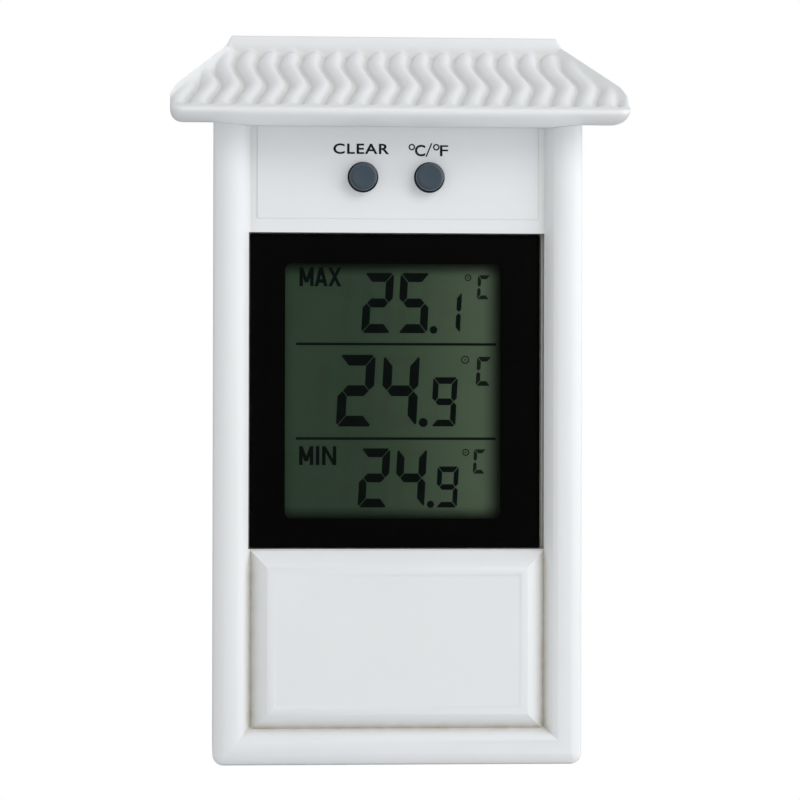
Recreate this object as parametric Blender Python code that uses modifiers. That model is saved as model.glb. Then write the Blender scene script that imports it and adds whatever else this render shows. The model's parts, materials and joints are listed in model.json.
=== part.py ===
"""Maximum minimum thermometer: a wall-hung greenhouse thermometer in a house-shaped case.

The object stands on z = 0 with its front towards -Y and its back plate towards +Y. The origin is the
middle of its bounding box at the base. Sizes below are in millimetres and become metres in add_part.
"""
import math

import bmesh
import bpy
from mathutils import Matrix, Vector

MM = 0.001
GAP = 0.3                    # between pieces that touch
THIN_GAP = 0.1               # between the layers of the display

# ---- case -----------------------------------------------------------------------------------
BODY_HALF = 33.5             # half width of the case
BODY_TOP = 124.0             # cut back by the roof's underside
CORNER_R = 2.0
WALL = 1.8
BACK_Y = 16.5
PARTING_Y = 5.0              # where the front housing ends and the back cover starts
CAVITY_HALF = BODY_HALF - WALL
CAVITY_TOP = 112.5           # ceiling inside the front housing
PAST_FRONT_Y = -12.0         # cutters reach out to here
PAST_BACK_Y = 20.0
PAST_TOP = 170.0

# ---- front face -----------------------------------------------------------------------------
FACE_Y = -5.4
CREST_Y = -8.6               # front of the columns
COLUMN_W = 6.7
CREST_MIDDLE = 2.9           # from the case's side to the middle of a column's shallow crest
CREST_HALF = 2.5
CREST_TILT = 38.0            # degrees, at both edges of the crest
LEDGE_BACK_Y = -2.35         # rear of the plate that carries the lens
PLATE_BACK_Y = -3.8          # rear of the plate elsewhere
FACE_HALF = BODY_HALF - COLUMN_W
VALLEY = 0.03                # cuts stay this far off the line where a column meets the face
RECESS_HALF = FACE_HALF - VALLEY
FIELD_STEP = 0.15            # height of the field around the buttons
PANEL_HEIGHT = 2.4           # of the lower panel's rounded bevel
PANEL_BEVEL = 3.3            # and its width
PANEL_BAND = (1.2, 0.05)     # width and height of the gentle slope inside the bevel
PANEL_SEAT = 0.4
PANEL_TUCK = 1.0             # the panel's lower edge runs into the bottom rail
PANEL_DROP = 0.5             # its upper edge is this far below the lens

# ---- lens and display -------------------------------------------------------------------------
LENS_X = -0.25               # the lens and the display sit left of the middle
LENS_HALF = 26.42
LENS_Z = (39.1, 96.4)
LENS_T = 1.2
WINDOW_X = -0.8
WINDOW_HALF = 19.65
WINDOW_Z = (44.5, 90.9)
LCD_HALF = 20.6
LCD_Z = (42.9, 92.7)
LCD_LEDGE = 2.4              # contact ledge below the rear glass

# ---- push buttons -----------------------------------------------------------------------------
BUTTON_X = (-6.4, 5.7)
BUTTON_Z = 106.6
BUTTON_R = 2.5
BUTTON_HOLE_R = 2.8
BUTTON_FRONT_Y = -7.9
BUTTON_NAMES = ("clear", "unit")
FLANGE_R = 3.5               # keeps the cap behind the face
FLANGE_T = 0.6
STEM_R = 1.4
SWITCH_HALF = 3.0
SWITCH_FRONT_Y = -1.6
PLUNGER_R = 1.6
PLUNGER_LENGTH = 1.3

# ---- board --------------------------------------------------------------------------------------
BOARD_HALF = 25.8
BOARD_Z = (36.5, 111.0)
BOARD_Y = (1.5, 2.7)
BOARD_SCREWS = [(x, z) for x in (-24.2, 24.2) for z in (38.6, 98.6)]
BOARD_POST_R = 1.7
SENSOR_X = 14.0

# ---- screws -------------------------------------------------------------------------------------
CASE_SCREWS = [(x, z) for x in (-28.6, 28.6) for z in (31.5, 107.5)]
CASE_BOSS_R = 2.5            # in the front housing
COVER_BOSS_R = 3.1           # in the back cover
COUNTERBORE_R = 2.3
COUNTERBORE_DEPTH = 2.6
ROOF_SCREWS = [(-17.0, 9.5), (17.0, 9.5)]      # (x, y), up through the cover's top wall
COVER_TOP = 114.6                              # ceiling inside the back cover

# ---- battery bay --------------------------------------------------------------------------------
CELL_R = 5.25
CELL_LENGTH = 44.5
CELL_Y = 8.9
CELL_Z = 16.3
BAY_HALF = 26.2
BAY_Z = (10.4, 22.2)
BAY_FLOOR_Y = 3.3
BAY_WALL = 1.2
DOOR_HALF = 27.0
DOOR_Z = (6.7, 24.1)
DOOR_T = 1.8
DOOR_FRAME = 1.6             # thickness of the ledge around the door
PIN_R = 0.4
PIN_LENGTH = 0.9
THUMB_HALF = 7.0             # scoop above the door's tongue
THUMB_DEPTH = 1.0
HINGE_Y = BACK_Y - DOOR_T / 2
HINGE_Z = DOOR_Z[0] + DOOR_T / 2

# ---- roof ---------------------------------------------------------------------------------------
ROOF_HALF = 41.3
EAVE_Y = -16.5
EAVE_MIDDLE = 117.6          # height of the eave's foremost line
EAVE_UNDER = (6.0, 2.15)     # depth and height of its rounding below that line
EAVE_OVER = 0.8              # radius of its rounding above
SLOPE_START = (-15.3, 118.4)
SLOPE_END = (6.0, 131.1)
RIDGE_TOP = 133.6
SOFFIT = [(-10.5, 115.45), (-5.4, 115.8), (16.5, 119.6)]     # underside seen from the side
END_R = 2.2                  # rounding under the roof's ends
OUTLINE = [(0.0, RIDGE_TOP), (30.1, RIDGE_TOP), (31.4, 131.4), (41.0, 122.2), (ROOF_HALF, 121.6)]
TILE_PITCH = 4.0
TILE_FAN = 0.026             # the tiles spread this much towards the eave
TILE_DEPTH = 0.75
TILE_SHIFT = 0.25            # of the crests from the middle of the roof
TILE_SWAY = 2.0              # how far each tile swings to the right
SWAY_PLACE = (0.575, 0.212)  # where down the slope it swings furthest, and over what share
HEAD_TURN = (5.5, 0.22)      # the heads of the tiles lean to the right above this share
HIP_RIB = 0.45               # the hip ribs stand this far above the tiles
HIP_WIDTH = 2.0
HIP_FADE = 1.2               # width over which the tiles rise out of the hip's flank
ROOF_HOLLOW = [(-2.0, 100.0), (-2.0, 122.6), (8.5, 129.2), (14.5, 131.0), (14.5, 100.0)]
HOLLOW_HALF = 27.0

# ---- keyhole hanger and vents ---------------------------------------------------------------------
KEYHOLE_Z = 93.0
KEYHOLE_R = 4.5
KEYHOLE_SLOT_R = 2.3
KEYHOLE_RISE = 8.0
POCKET_HALF = 5.3            # room behind the keyhole for the head of a wall screw
POCKET_FRONT_Y = 10.7
POCKET_HEADROOM = 3.8
POCKET_WALL = 1.2
VENT_Z = [58.0 + 3.6 * step for step in range(5)]
VENT_HALF = 9.0
VENT_HEIGHT = 1.4

PARTS = bpy.data.collections.new("maximum_minimum_thermometer")
CUTTERS = bpy.data.collections.new("cutters")


# ---- helpers --------------------------------------------------------------------------------------
def clear_scene():
    for obj in list(bpy.data.objects):
        bpy.data.objects.remove(obj, do_unlink=True)
    bpy.context.scene.collection.children.link(PARTS)
    bpy.context.scene.collection.children.link(CUTTERS)


def material(name, colour, roughness, metallic=0.0, transmission=0.0):
    mat = bpy.data.materials.new(name)
    mat.use_nodes = True
    shader = mat.node_tree.nodes["Principled BSDF"]
    shader.inputs["Base Color"].default_value = (*colour, 1.0)
    shader.inputs["Roughness"].default_value = roughness
    shader.inputs["Metallic"].default_value = metallic
    shader.inputs["Transmission Weight"].default_value = transmission
    return mat


def add_part(name, bm, mat, pivot=(0, 0, 0)):
    """Turn a bmesh in millimetres into an object in metres, with its origin at the pivot."""
    bmesh.ops.translate(bm, verts=bm.verts, vec=-Vector(pivot))
    bmesh.ops.scale(bm, verts=bm.verts, vec=(MM, MM, MM))
    bmesh.ops.recalc_face_normals(bm, faces=bm.faces)
    mesh = bpy.data.meshes.new(name)
    bm.to_mesh(mesh)
    bm.free()
    mesh.materials.append(mat)
    obj = bpy.data.objects.new(name, mesh)
    obj.location = Vector(pivot) * MM
    PARTS.objects.link(obj)
    return obj


def box(low, high, round_by=0.0):
    bm = bmesh.new()
    bmesh.ops.create_cube(bm, size=1.0)
    low, high = Vector(low), Vector(high)
    bmesh.ops.scale(bm, verts=bm.verts, vec=high - low)
    bmesh.ops.translate(bm, verts=bm.verts, vec=(low + high) / 2)
    if round_by:
        bmesh.ops.bevel(bm, geom=bm.edges[:], offset=round_by, segments=2, profile=0.5, affect="EDGES")
    return bm


def cylinder(radius, start, end, segments=24):
    """A cylinder from one point to another."""
    start, end = Vector(start), Vector(end)
    bm = bmesh.new()
    bmesh.ops.create_cone(bm, cap_ends=True, segments=segments, radius1=radius, radius2=radius,
                          depth=(end - start).length)
    turn = (end - start).to_track_quat("Z", "Y").to_matrix().to_4x4()
    bmesh.ops.transform(bm, verts=bm.verts, matrix=Matrix.Translation((start + end) / 2) @ turn)
    return bm


def loft(rings):
    """A closed solid through rings that have the same number of points, capped at both ends."""
    bm = bmesh.new()
    rows = [[bm.verts.new(point) for point in ring] for ring in rings]
    count = len(rows[0])
    for row, following in zip(rows, rows[1:]):
        for i in range(count):
            j = (i + 1) % count
            bm.faces.new((row[i], row[j], following[j], following[i]))
    bm.faces.new(rows[0])
    bm.faces.new(rows[-1])
    bmesh.ops.remove_doubles(bm, verts=bm.verts, dist=1e-4)
    return bm


def together(solids):
    """Several solids that don't meet, as one bmesh."""
    result = bmesh.new()
    for solid in solids:
        mesh = bpy.data.meshes.new("piece")
        solid.to_mesh(mesh)
        solid.free()
        result.from_mesh(mesh)
        bpy.data.meshes.remove(mesh)
    return result


def side_prism(outline, half_x):
    """An outline of (y, z) points pulled along X."""
    return loft([[(x, y, z) for y, z in outline] for x in (-half_x, half_x)])


def turned(name, profile, mat, location, axis, steps=20):
    """A turned piece: (radius, height) points from top to bottom, with its top towards axis."""
    mesh = bpy.data.meshes.new(name)
    points = [(radius * MM, 0.0, height * MM) for radius, height in profile]
    mesh.from_pydata(points, [(i, i + 1) for i in range(len(points) - 1)], [])
    mesh.materials.append(mat)
    obj = bpy.data.objects.new(name, mesh)
    obj.location = Vector(location) * MM
    obj.rotation_euler = Vector(axis).to_track_quat("Z", "Y").to_euler()
    screw = obj.modifiers.new("turn", "SCREW")
    screw.steps = steps
    screw.render_steps = steps
    screw.use_merge_vertices = True
    screw.merge_threshold = 0.00001
    PARTS.objects.link(obj)
    return obj


def tool(bm):
    """A hidden solid that a Boolean modifier uses."""
    obj = add_part("tool", bm, STEEL)
    PARTS.objects.unlink(obj)
    CUTTERS.objects.link(obj)
    obj.hide_render = True
    obj.display_type = "WIRE"
    return obj


def boolean(obj, bm, operation):
    modifier = obj.modifiers.new(operation.lower(), "BOOLEAN")
    modifier.operation = operation
    modifier.solver = "EXACT"
    modifier.object = tool(bm)


def cut(obj, *solids):
    for solid in solids:
        boolean(obj, solid, "DIFFERENCE")


def join(obj, *solids):
    for solid in solids:
        boolean(obj, solid, "UNION")


def wire(name, points, radius, mat):
    """A round wire along a list of points, with closed ends."""
    curve = bpy.data.curves.new(name, "CURVE")
    curve.dimensions = "3D"
    curve.bevel_depth = radius * MM
    curve.bevel_resolution = 2
    curve.use_fill_caps = True
    spline = curve.splines.new("POLY")
    spline.points.add(len(points) - 1)
    for target, point in zip(spline.points, points):
        target.co = (*(Vector(point) * MM), 1.0)
    curve.materials.append(mat)
    obj = bpy.data.objects.new(name, curve)
    PARTS.objects.link(obj)
    return obj


def smooth_route(points, steps=6):
    """Points along a Catmull-Rom curve through the given ones."""
    ends = [points[0], *points, points[-1]]
    route = []
    for a, b, c, d in zip(ends, ends[1:], ends[2:], ends[3:]):
        a, b, c, d = (Vector(p) for p in (a, b, c, d))
        for step in range(steps):
            t = step / steps
            route.append(0.5 * (2 * b + (c - a) * t + (2 * a - 5 * b + 4 * c - d) * t ** 2
                                + (3 * b - a - 3 * c + d) * t ** 3))
    return route + [Vector(points[-1])]


def posts(places, radius, start_y, end_y, segments):
    """Cylinders along Y at a list of (x, z) places."""
    return together(cylinder(radius, (x, start_y, z), (x, end_y, z), segments) for x, z in places)


def side_box(side, near, far, ys, zs):
    """A box on the left (-1) or right (1), from near to far of the middle plane."""
    low, high = sorted((side * near, side * far))
    return box((low, ys[0], zs[0]), (high, ys[1], zs[1]))


def rounded_rectangle(half, low, high, radius, inset=0.0, segments=4):
    """(x, z) points of a rectangle moved inwards; its corners keep what is left of their radius."""
    radius = max(radius - inset, 0.0)
    side, bottom, top = half - inset - radius, low + inset + radius, high - inset - radius
    points = []
    for x, z, start in ((side, top, 0), (-side, top, 90), (-side, bottom, 180), (side, bottom, 270)):
        for step in range(segments + 1):
            angle = math.radians(start + 90 * step / segments)
            points.append((x + radius * math.cos(angle), z + radius * math.sin(angle)))
    return points


def frame_rings(profile, half, low, high, radius):
    """Rings for a mitred frame: profile is a list of (distance in from the edge, y)."""
    return [[(x, y, z) for x, z in rounded_rectangle(half, low, high, radius, inset)]
            for inset, y in profile]


def arc(centre, radii, start, end, steps):
    """Points of an elliptical arc, angles in degrees."""
    points = []
    for step in range(steps + 1):
        angle = math.radians(start + (end - start) * step / steps)
        points.append((centre[0] + radii[0] * math.cos(angle), centre[1] + radii[1] * math.sin(angle)))
    return points


def soffit_height(y):
    """Height of the roof's underside at a depth."""
    for (y0, z0), (y1, z1) in zip(SOFFIT, SOFFIT[1:]):
        if y <= y1:
            return z0 + (z1 - z0) * (y - y0) / (y1 - y0)
    return SOFFIT[-1][1]


def above_soffit(drop):
    """Everything above the roof's underside, moved down by drop."""
    (_, front), (fold_y, fold), (back_y, back) = SOFFIT
    far_y = 30.0
    far = fold + (far_y - fold_y) * (back - fold) / (back_y - fold_y)
    outline = [(-far_y, front), (SOFFIT[0][0], front), (fold_y, fold), (far_y, far)]
    outline = [(y, z - drop) for y, z in outline] + [(far_y, PAST_TOP), (-far_y, PAST_TOP)]
    return side_prism(outline, BODY_HALF + far_y)


# ---- materials --------------------------------------------------------------------------------------
CASE = material("case_plastic", (0.82, 0.81, 0.77), 0.42)
GREY = material("button_grey", (0.12, 0.14, 0.16), 0.45)
ACRYLIC = material("lens_acrylic", (0.85, 0.87, 0.86), 0.05, transmission=0.9)
BLACK = material("mask_black", (0.01, 0.01, 0.01), 0.4)
FILM = material("polariser_film", (0.25, 0.29, 0.24), 0.25)
GLASS = material("display_glass", (0.55, 0.6, 0.55), 0.08, transmission=0.6)
HOLDER = material("holder_plastic", (0.75, 0.75, 0.73), 0.5)
RUBBER = material("contact_rubber", (0.6, 0.2, 0.25), 0.7)
BOARD = material("circuit_board", (0.05, 0.22, 0.1), 0.45)
EPOXY = material("epoxy_black", (0.015, 0.015, 0.015), 0.3)
STEEL = material("steel", (0.6, 0.6, 0.58), 0.32, 1.0)
TIN = material("nickel_plate", (0.68, 0.66, 0.6), 0.28, 1.0)
CELL = material("cell_jacket", (0.06, 0.1, 0.2), 0.35, 0.4)
RED = material("red_wire", (0.5, 0.02, 0.02), 0.5)
DARK_WIRE = material("black_wire", (0.02, 0.02, 0.02), 0.5)
CERAMIC = material("capacitor_ceramic", (0.45, 0.3, 0.15), 0.5)
SENSOR = material("thermistor_epoxy", (0.05, 0.05, 0.05), 0.35)


# ---- case pieces --------------------------------------------------------------------------------------
def column_profile():
    """From the housing's rear rim, along its side, over the column and down to the face."""
    tilt = math.radians(CREST_TILT)
    crest_r = CREST_HALF / math.sin(tilt)
    crest = arc((CREST_MIDDLE, CREST_Y + crest_r), (crest_r, crest_r), 270 - CREST_TILT, 270 + CREST_TILT, 7)
    edge_r = (CREST_MIDDLE - CREST_HALF) / (1.0 - math.sin(tilt))
    edge = arc((edge_r, crest[0][1] + edge_r * math.cos(tilt)), (edge_r, edge_r), 180, 270 - CREST_TILT, 4)
    return [(0.15, PARTING_Y), (0.0, PARTING_Y - 0.15)] + edge + crest[1:] + [(COLUMN_W, FACE_Y)]


def raised_panel():
    """The bevelled panel below the window: a rounded bevel, a gentle slope and a flat field."""
    foot = FACE_Y + THIN_GAP
    rounded = [(THIN_GAP + PANEL_BEVEL * t, foot - (PANEL_HEIGHT + THIN_GAP) * (1.0 - (1.0 - t) ** 1.35))
               for t in (0.0, 0.12, 0.26, 0.42, 0.6, 0.8, 1.0)]
    inset, shoulder = rounded[-1]
    field = (inset + PANEL_BAND[0], shoulder - PANEL_BAND[1])
    profile = [(THIN_GAP, foot + 0.5 + PANEL_SEAT)] + rounded + [field, (field[0] + 0.4, field[1])]
    return loft(frame_rings(profile, FACE_HALF, COLUMN_W - PANEL_TUCK, LENS_Z[0] - PANEL_DROP, 0.0))


def button_panel():
    """The low raised field around the buttons."""
    profile = [(0.0, FACE_Y + 0.5), (0.0, FACE_Y - FIELD_STEP / 2), (0.25, FACE_Y - FIELD_STEP)]
    return loft(frame_rings(profile, FACE_HALF - 1.15, LENS_Z[1] + 2.6, 119.0, 0.3))


def front_housing():
    """The face plate with its columns, hollow behind, with the lens's recess and the window."""
    shell = loft(frame_rings(column_profile(), BODY_HALF, 0.0, BODY_TOP, CORNER_R))
    housing = add_part("front_housing", shell, CASE)
    join(housing, button_panel())
    cut(housing, box((-RECESS_HALF, PAST_FRONT_Y, COLUMN_W + VALLEY),
                     (RECESS_HALF, FACE_Y + PANEL_SEAT, LENS_Z[0] - PANEL_DROP - VALLEY)))
    join(housing, raised_panel())
    recess_y = FACE_Y + LENS_T + 0.35
    recess_z = (LENS_Z[0] - THIN_GAP, LENS_Z[1] + THIN_GAP)
    cut(housing,
        above_soffit(GAP),
        box((-CAVITY_HALF, LEDGE_BACK_Y, WALL), (CAVITY_HALF, PARTING_Y + WALL, CAVITY_TOP)),
        box((-FACE_HALF + 1.5, PLATE_BACK_Y, LENS_Z[1] + 1.6), (FACE_HALF - 1.5, 0.0, CAVITY_TOP)),
        box((-FACE_HALF + 4.5, FACE_Y - 0.4, COLUMN_W + 4.5), (FACE_HALF - 4.5, 0.0, LENS_Z[0] - 5.0)),
        box((-RECESS_HALF, PAST_FRONT_Y, recess_z[0]), (RECESS_HALF, recess_y, recess_z[1])),
        box((WINDOW_X - WINDOW_HALF - 0.5, PAST_FRONT_Y, WINDOW_Z[0] - 0.5),
            (WINDOW_X + WINDOW_HALF + 0.5, 0.0, WINDOW_Z[1] + 0.5)))
    cut(housing, together(side_box(side, FACE_HALF + 1.7, CAVITY_HALF, (CREST_Y + 2.0, 0.0),
                                   (WALL + 1.5, CAVITY_TOP)) for side in (-1, 1)))
    cut(housing, posts([(x, BUTTON_Z) for x in BUTTON_X], BUTTON_HOLE_R, PAST_FRONT_Y, 0.0, 32))
    join(housing, posts(BOARD_SCREWS, BOARD_POST_R, LEDGE_BACK_Y - GAP, BOARD_Y[0] - THIN_GAP, 16))
    join(housing, posts(CASE_SCREWS, CASE_BOSS_R, FACE_Y + 1.0, PARTING_Y - GAP, 20))
    cut(housing, posts(BOARD_SCREWS, 0.95, LEDGE_BACK_Y + 0.2, PARTING_Y + WALL, 12))
    cut(housing, posts(CASE_SCREWS, 1.3, LEDGE_BACK_Y + 0.2, PARTING_Y + WALL, 16))
    return housing


def keyhole():
    """The entry hole for a screw's head and the slot that its shank rises into."""
    top = KEYHOLE_Z + KEYHOLE_RISE
    near = BACK_Y - WALL - POCKET_WALL
    return (cylinder(KEYHOLE_R, (0, near, KEYHOLE_Z), (0, PAST_BACK_Y, KEYHOLE_Z), 32),
            cylinder(KEYHOLE_SLOT_R, (0, near, top), (0, PAST_BACK_Y, top)),
            box((-KEYHOLE_SLOT_R, near, KEYHOLE_Z), (KEYHOLE_SLOT_R, PAST_BACK_Y, top)))


def back_cover():
    """The rear shell with the battery bay, the door's frame, the keyhole's pocket and the vents."""
    profile = [(0.0, PARTING_Y + GAP), (0.0, BACK_Y - 1.2), (0.35, BACK_Y - 0.35), (1.2, BACK_Y)]
    cover = add_part("back_cover", loft(frame_rings(profile, BODY_HALF, 0.0, BODY_TOP, CORNER_R)), CASE)
    inside_y = BACK_Y - WALL
    cut(cover, box((-CAVITY_HALF, 0.0, WALL), (CAVITY_HALF, inside_y, COVER_TOP)), above_soffit(GAP))
    bay_walls = box((-BAY_HALF - 2 * BAY_WALL, BAY_FLOOR_Y - BAY_WALL, BAY_Z[0] - BAY_WALL),
                    (BAY_HALF + 2 * BAY_WALL, inside_y + 0.5, BAY_Z[1] + BAY_WALL))
    frame_half = DOOR_HALF + DOOR_FRAME
    door_surround = box((-frame_half, BACK_Y - DOOR_T - DOOR_FRAME, DOOR_Z[0] - DOOR_FRAME),
                        (frame_half, inside_y + 0.5, DOOR_Z[1] + DOOR_FRAME))
    pocket_half = POCKET_HALF + POCKET_WALL
    pocket_top = KEYHOLE_Z + KEYHOLE_RISE + POCKET_HEADROOM
    pocket = box((-pocket_half, POCKET_FRONT_Y - POCKET_WALL, KEYHOLE_Z - pocket_half),
                 (pocket_half, inside_y + 0.5, pocket_top + POCKET_WALL))
    join(cover, bay_walls, door_surround, pocket)
    join(cover, posts(CASE_SCREWS, COVER_BOSS_R, PARTING_Y + GAP, BACK_Y - 1.0, 20))
    pin_end = DOOR_HALF + PIN_LENGTH + GAP
    cut(cover,
        box((-BAY_HALF, BAY_FLOOR_Y, BAY_Z[0]), (BAY_HALF, PAST_BACK_Y, BAY_Z[1])),
        box((-DOOR_HALF - GAP, BACK_Y - DOOR_T - GAP, DOOR_Z[0] - GAP),
            (DOOR_HALF + GAP, PAST_BACK_Y, DOOR_Z[1] + GAP)),
        box((-POCKET_HALF, POCKET_FRONT_Y, KEYHOLE_Z - POCKET_HALF), (POCKET_HALF, inside_y, pocket_top)),
        *keyhole(),
        box((-THUMB_HALF, BACK_Y - THUMB_DEPTH, DOOR_Z[1]), (THUMB_HALF, PAST_BACK_Y, DOOR_Z[1] + 2.6)),
        cylinder(PIN_R + 0.15, (-pin_end, HINGE_Y, HINGE_Z), (pin_end, HINGE_Y, HINGE_Z), 16))
    tab_holes = (side_box(side, BAY_HALF - 3.6, BAY_HALF - 1.4, (0.0, PARTING_Y), (18.2, 20.2))
                 for side in (-1, 1))
    cut(cover,
        posts(CASE_SCREWS, 1.35, 0.0, PAST_BACK_Y, 16),
        posts(CASE_SCREWS, COUNTERBORE_R, BACK_Y - COUNTERBORE_DEPTH, PAST_BACK_Y, 24),
        together(box((-VENT_HALF, inside_y - 1.0, z - VENT_HEIGHT / 2),
                     (VENT_HALF, PAST_BACK_Y, z + VENT_HEIGHT / 2)) for z in VENT_Z),
        together(tab_holes),
        together(cylinder(1.35, (x, y, COVER_TOP - 2.0), (x, y, BODY_TOP + 1.0), 16) for x, y in ROOF_SCREWS))
    return cover


def outline_height(x):
    """Height of the roof's outline seen from the front."""
    for (x0, z0), (x1, z1) in zip(OUTLINE, OUTLINE[1:]):
        if abs(x) <= x1:
            return z0 + (z1 - z0) * (abs(x) - x0) / (x1 - x0)
    return OUTLINE[-1][1]


def hip_distance(x, height):
    """How far a place on the tiles is from the hip's edge, measured along X."""
    (x0, z0), (x1, z1) = OUTLINE[2:4]
    return x0 + (x1 - x0) * (z0 - height) / (z0 - z1) - abs(x)


def tile_relief(x, share):
    """How far the tiles stand off their slope: share runs from 0 at the ridge to 1 at the eave."""
    fan = 1.0 + TILE_FAN * share
    swing = TILE_SWAY * math.exp(-((share - SWAY_PLACE[0]) / SWAY_PLACE[1]) ** 2)
    sway = TILE_SHIFT + swing + HEAD_TURN[0] * max(HEAD_TURN[1] - share, 0.0)
    groove = 0.5 - 0.5 * math.cos(2 * math.pi * (x / fan - sway) / TILE_PITCH)
    height = SLOPE_END[1] + (SLOPE_START[1] - SLOPE_END[1]) * share
    inside = min(max((hip_distance(x, height) - HIP_WIDTH) / HIP_FADE, 0.0), 1.0)
    ends = min(share / 0.06, (1.0 - share) / 0.07, 1.0)
    rib = HIP_RIB * (1.0 - inside) * min((1.0 - share) / 0.2, 1.0)
    return rib - TILE_DEPTH * groove * min(ends, inside)


def roof_section(x, cells=6):
    """The roof cut at one x: round the eave, up the tiles, over the ridge and back underneath."""
    eave = arc((EAVE_Y + EAVE_UNDER[0], EAVE_MIDDLE), EAVE_UNDER, 262, 180, 5)
    eave += arc((EAVE_Y + EAVE_OVER, EAVE_MIDDLE), (EAVE_OVER, EAVE_OVER), 152, 125, 1)
    run, rise = SLOPE_END[0] - SLOPE_START[0], SLOPE_END[1] - SLOPE_START[1]
    length = math.hypot(run, rise)
    limit = outline_height(x)
    top_share = max((SLOPE_END[1] - limit) / rise, 0.0)
    slope = []
    for step in range(cells + 1):
        share = 1.0 + (top_share - 1.0) * step / cells
        lift = tile_relief(x, share)
        slope.append((SLOPE_END[0] - run * share - lift * rise / length,
                      SLOPE_END[1] - rise * share + lift * run / length))
    edge = SLOPE_END[0] - run * top_share
    ridge = [(edge + 0.1, SLOPE_END[1] + 0.6), (edge + 0.3, RIDGE_TOP - 0.4), (edge + 0.8, RIDGE_TOP),
             (BACK_Y, RIDGE_TOP)]
    top = [(y, min(z, limit)) for y, z in slope + ridge]
    return eave + top + [(y, z) for y, z in reversed(SOFFIT[1:])]


def roof_end(side, angle):
    """A section near one end: its underside curves up and its front turns in, angle from 0 to 90."""
    x = ROOF_HALF - END_R + END_R * math.sin(math.radians(angle))
    turn = 1.0 - math.cos(math.radians(angle))
    ring = []
    for y, z in roof_section(side * x):
        share = min(max((z - soffit_height(y)) / 4.0, 0.0), 1.0)
        front = min(max((-10.0 - y) / 6.0, 0.0), 1.0)
        ring.append((side * x, y + 0.9 * turn * front, z + END_R * turn * (1.0 - share)))
    return ring


def roof_stations(per_tile):
    """Places along X for the roof's sections, with one at each corner of its outline."""
    inner = ROOF_HALF - END_R
    corners = [side * x for x, _ in OUTLINE[1:3] for side in (-1, 1)]
    count = round(2 * inner / TILE_PITCH * per_tile)
    even = [-inner + 2 * inner * i / count for i in range(count + 1)]
    return sorted(corners + [x for x in even if min(abs(x - corner) for corner in corners) > 0.2])


def roof():
    """The rain roof: sections along X, rounded under its ends, hollow above the case."""
    rings = [[(x, y, z) for y, z in roof_section(x)] for x in roof_stations(5)]
    angles = (35, 65, 90)
    left = [roof_end(-1, angle) for angle in reversed(angles)]
    right = [roof_end(1, angle) for angle in angles]
    hood = add_part("roof", loft(left + rings + right), CASE)
    cut(hood, side_prism(ROOF_HOLLOW, HOLLOW_HALF))
    join(hood, together(cylinder(2.4, (x, y, soffit_height(y) + 0.4), (x, y, 130.0), 20)
                        for x, y in ROOF_SCREWS))
    cut(hood, together(cylinder(1.25, (x, y, COVER_TOP), (x, y, 128.0), 16) for x, y in ROOF_SCREWS))
    return hood


# ---- window and display ---------------------------------------------------------------------------
def pane(name, half, zs, ys, mat, middle_x=WINDOW_X, radius=0.0):
    """A flat rectangular layer of the window stack."""
    rings = frame_rings([(0.0, ys[0]), (0.0, ys[1])], half, zs[0], zs[1], radius)
    bm = loft(rings)
    bmesh.ops.translate(bm, verts=bm.verts, vec=(middle_x, 0, 0))
    return add_part(name, bm, mat)


def opening(half, zs, radius):
    """A cutter for a window opening."""
    bm = loft(frame_rings([(0.0, PAST_FRONT_Y), (0.0, PARTING_Y)], half, zs[0], zs[1], radius))
    bmesh.ops.translate(bm, verts=bm.verts, vec=(WINDOW_X, 0, 0))
    return bm


def window_and_display():
    lens_back = FACE_Y + LENS_T
    pane("window_lens", LENS_HALF, LENS_Z, (FACE_Y, lens_back), ACRYLIC, LENS_X, 0.5)
    mask_y = (lens_back + THIN_GAP, lens_back + 0.25)
    mask_z = (LENS_Z[0] + GAP, LENS_Z[1] - GAP)
    mask = pane("window_mask", LENS_HALF - GAP, mask_z, mask_y, BLACK, LENS_X, 0.5)
    cut(mask, opening(WINDOW_HALF, WINDOW_Z, 1.2))
    start = LEDGE_BACK_Y + THIN_GAP
    layers = (("display_front_polariser", 0.2, LCD_HALF - 0.3, (LCD_Z[0] + 0.4, LCD_Z[1] - 0.3), FILM),
              ("display_front_glass", 0.7, LCD_HALF, (LCD_Z[0] - LCD_LEDGE, LCD_Z[1]), GLASS),
              ("display_rear_glass", 0.7, LCD_HALF, LCD_Z, GLASS),
              ("display_reflector", 0.2, LCD_HALF - 0.3, (LCD_Z[0] + 0.4, LCD_Z[1] - 0.3), FILM))
    for name, thickness, half, zs, mat in layers:
        pane(name, half, zs, (start, start + thickness), mat)
        start += thickness + THIN_GAP
    holder = pane("display_holder", LCD_HALF + 1.0, (LCD_Z[0] - LCD_LEDGE - 0.9, LCD_Z[1] + 1.5),
                  (LEDGE_BACK_Y + THIN_GAP, BOARD_Y[0] - THIN_GAP), HOLDER)
    cut(holder, opening(LCD_HALF + 0.3, (LCD_Z[0] - LCD_LEDGE - 0.3, LCD_Z[1] + 0.3), 0.0))
    strip_z = (LCD_Z[0] - LCD_LEDGE + 0.3, LCD_Z[0] - 0.5)
    rear_y = LEDGE_BACK_Y + THIN_GAP * 3 + 0.9
    add_part("contact_strip", box((WINDOW_X - 19.0, rear_y, strip_z[0]),
                                  (WINDOW_X + 19.0, BOARD_Y[0] - THIN_GAP, strip_z[1])), RUBBER)


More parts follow.
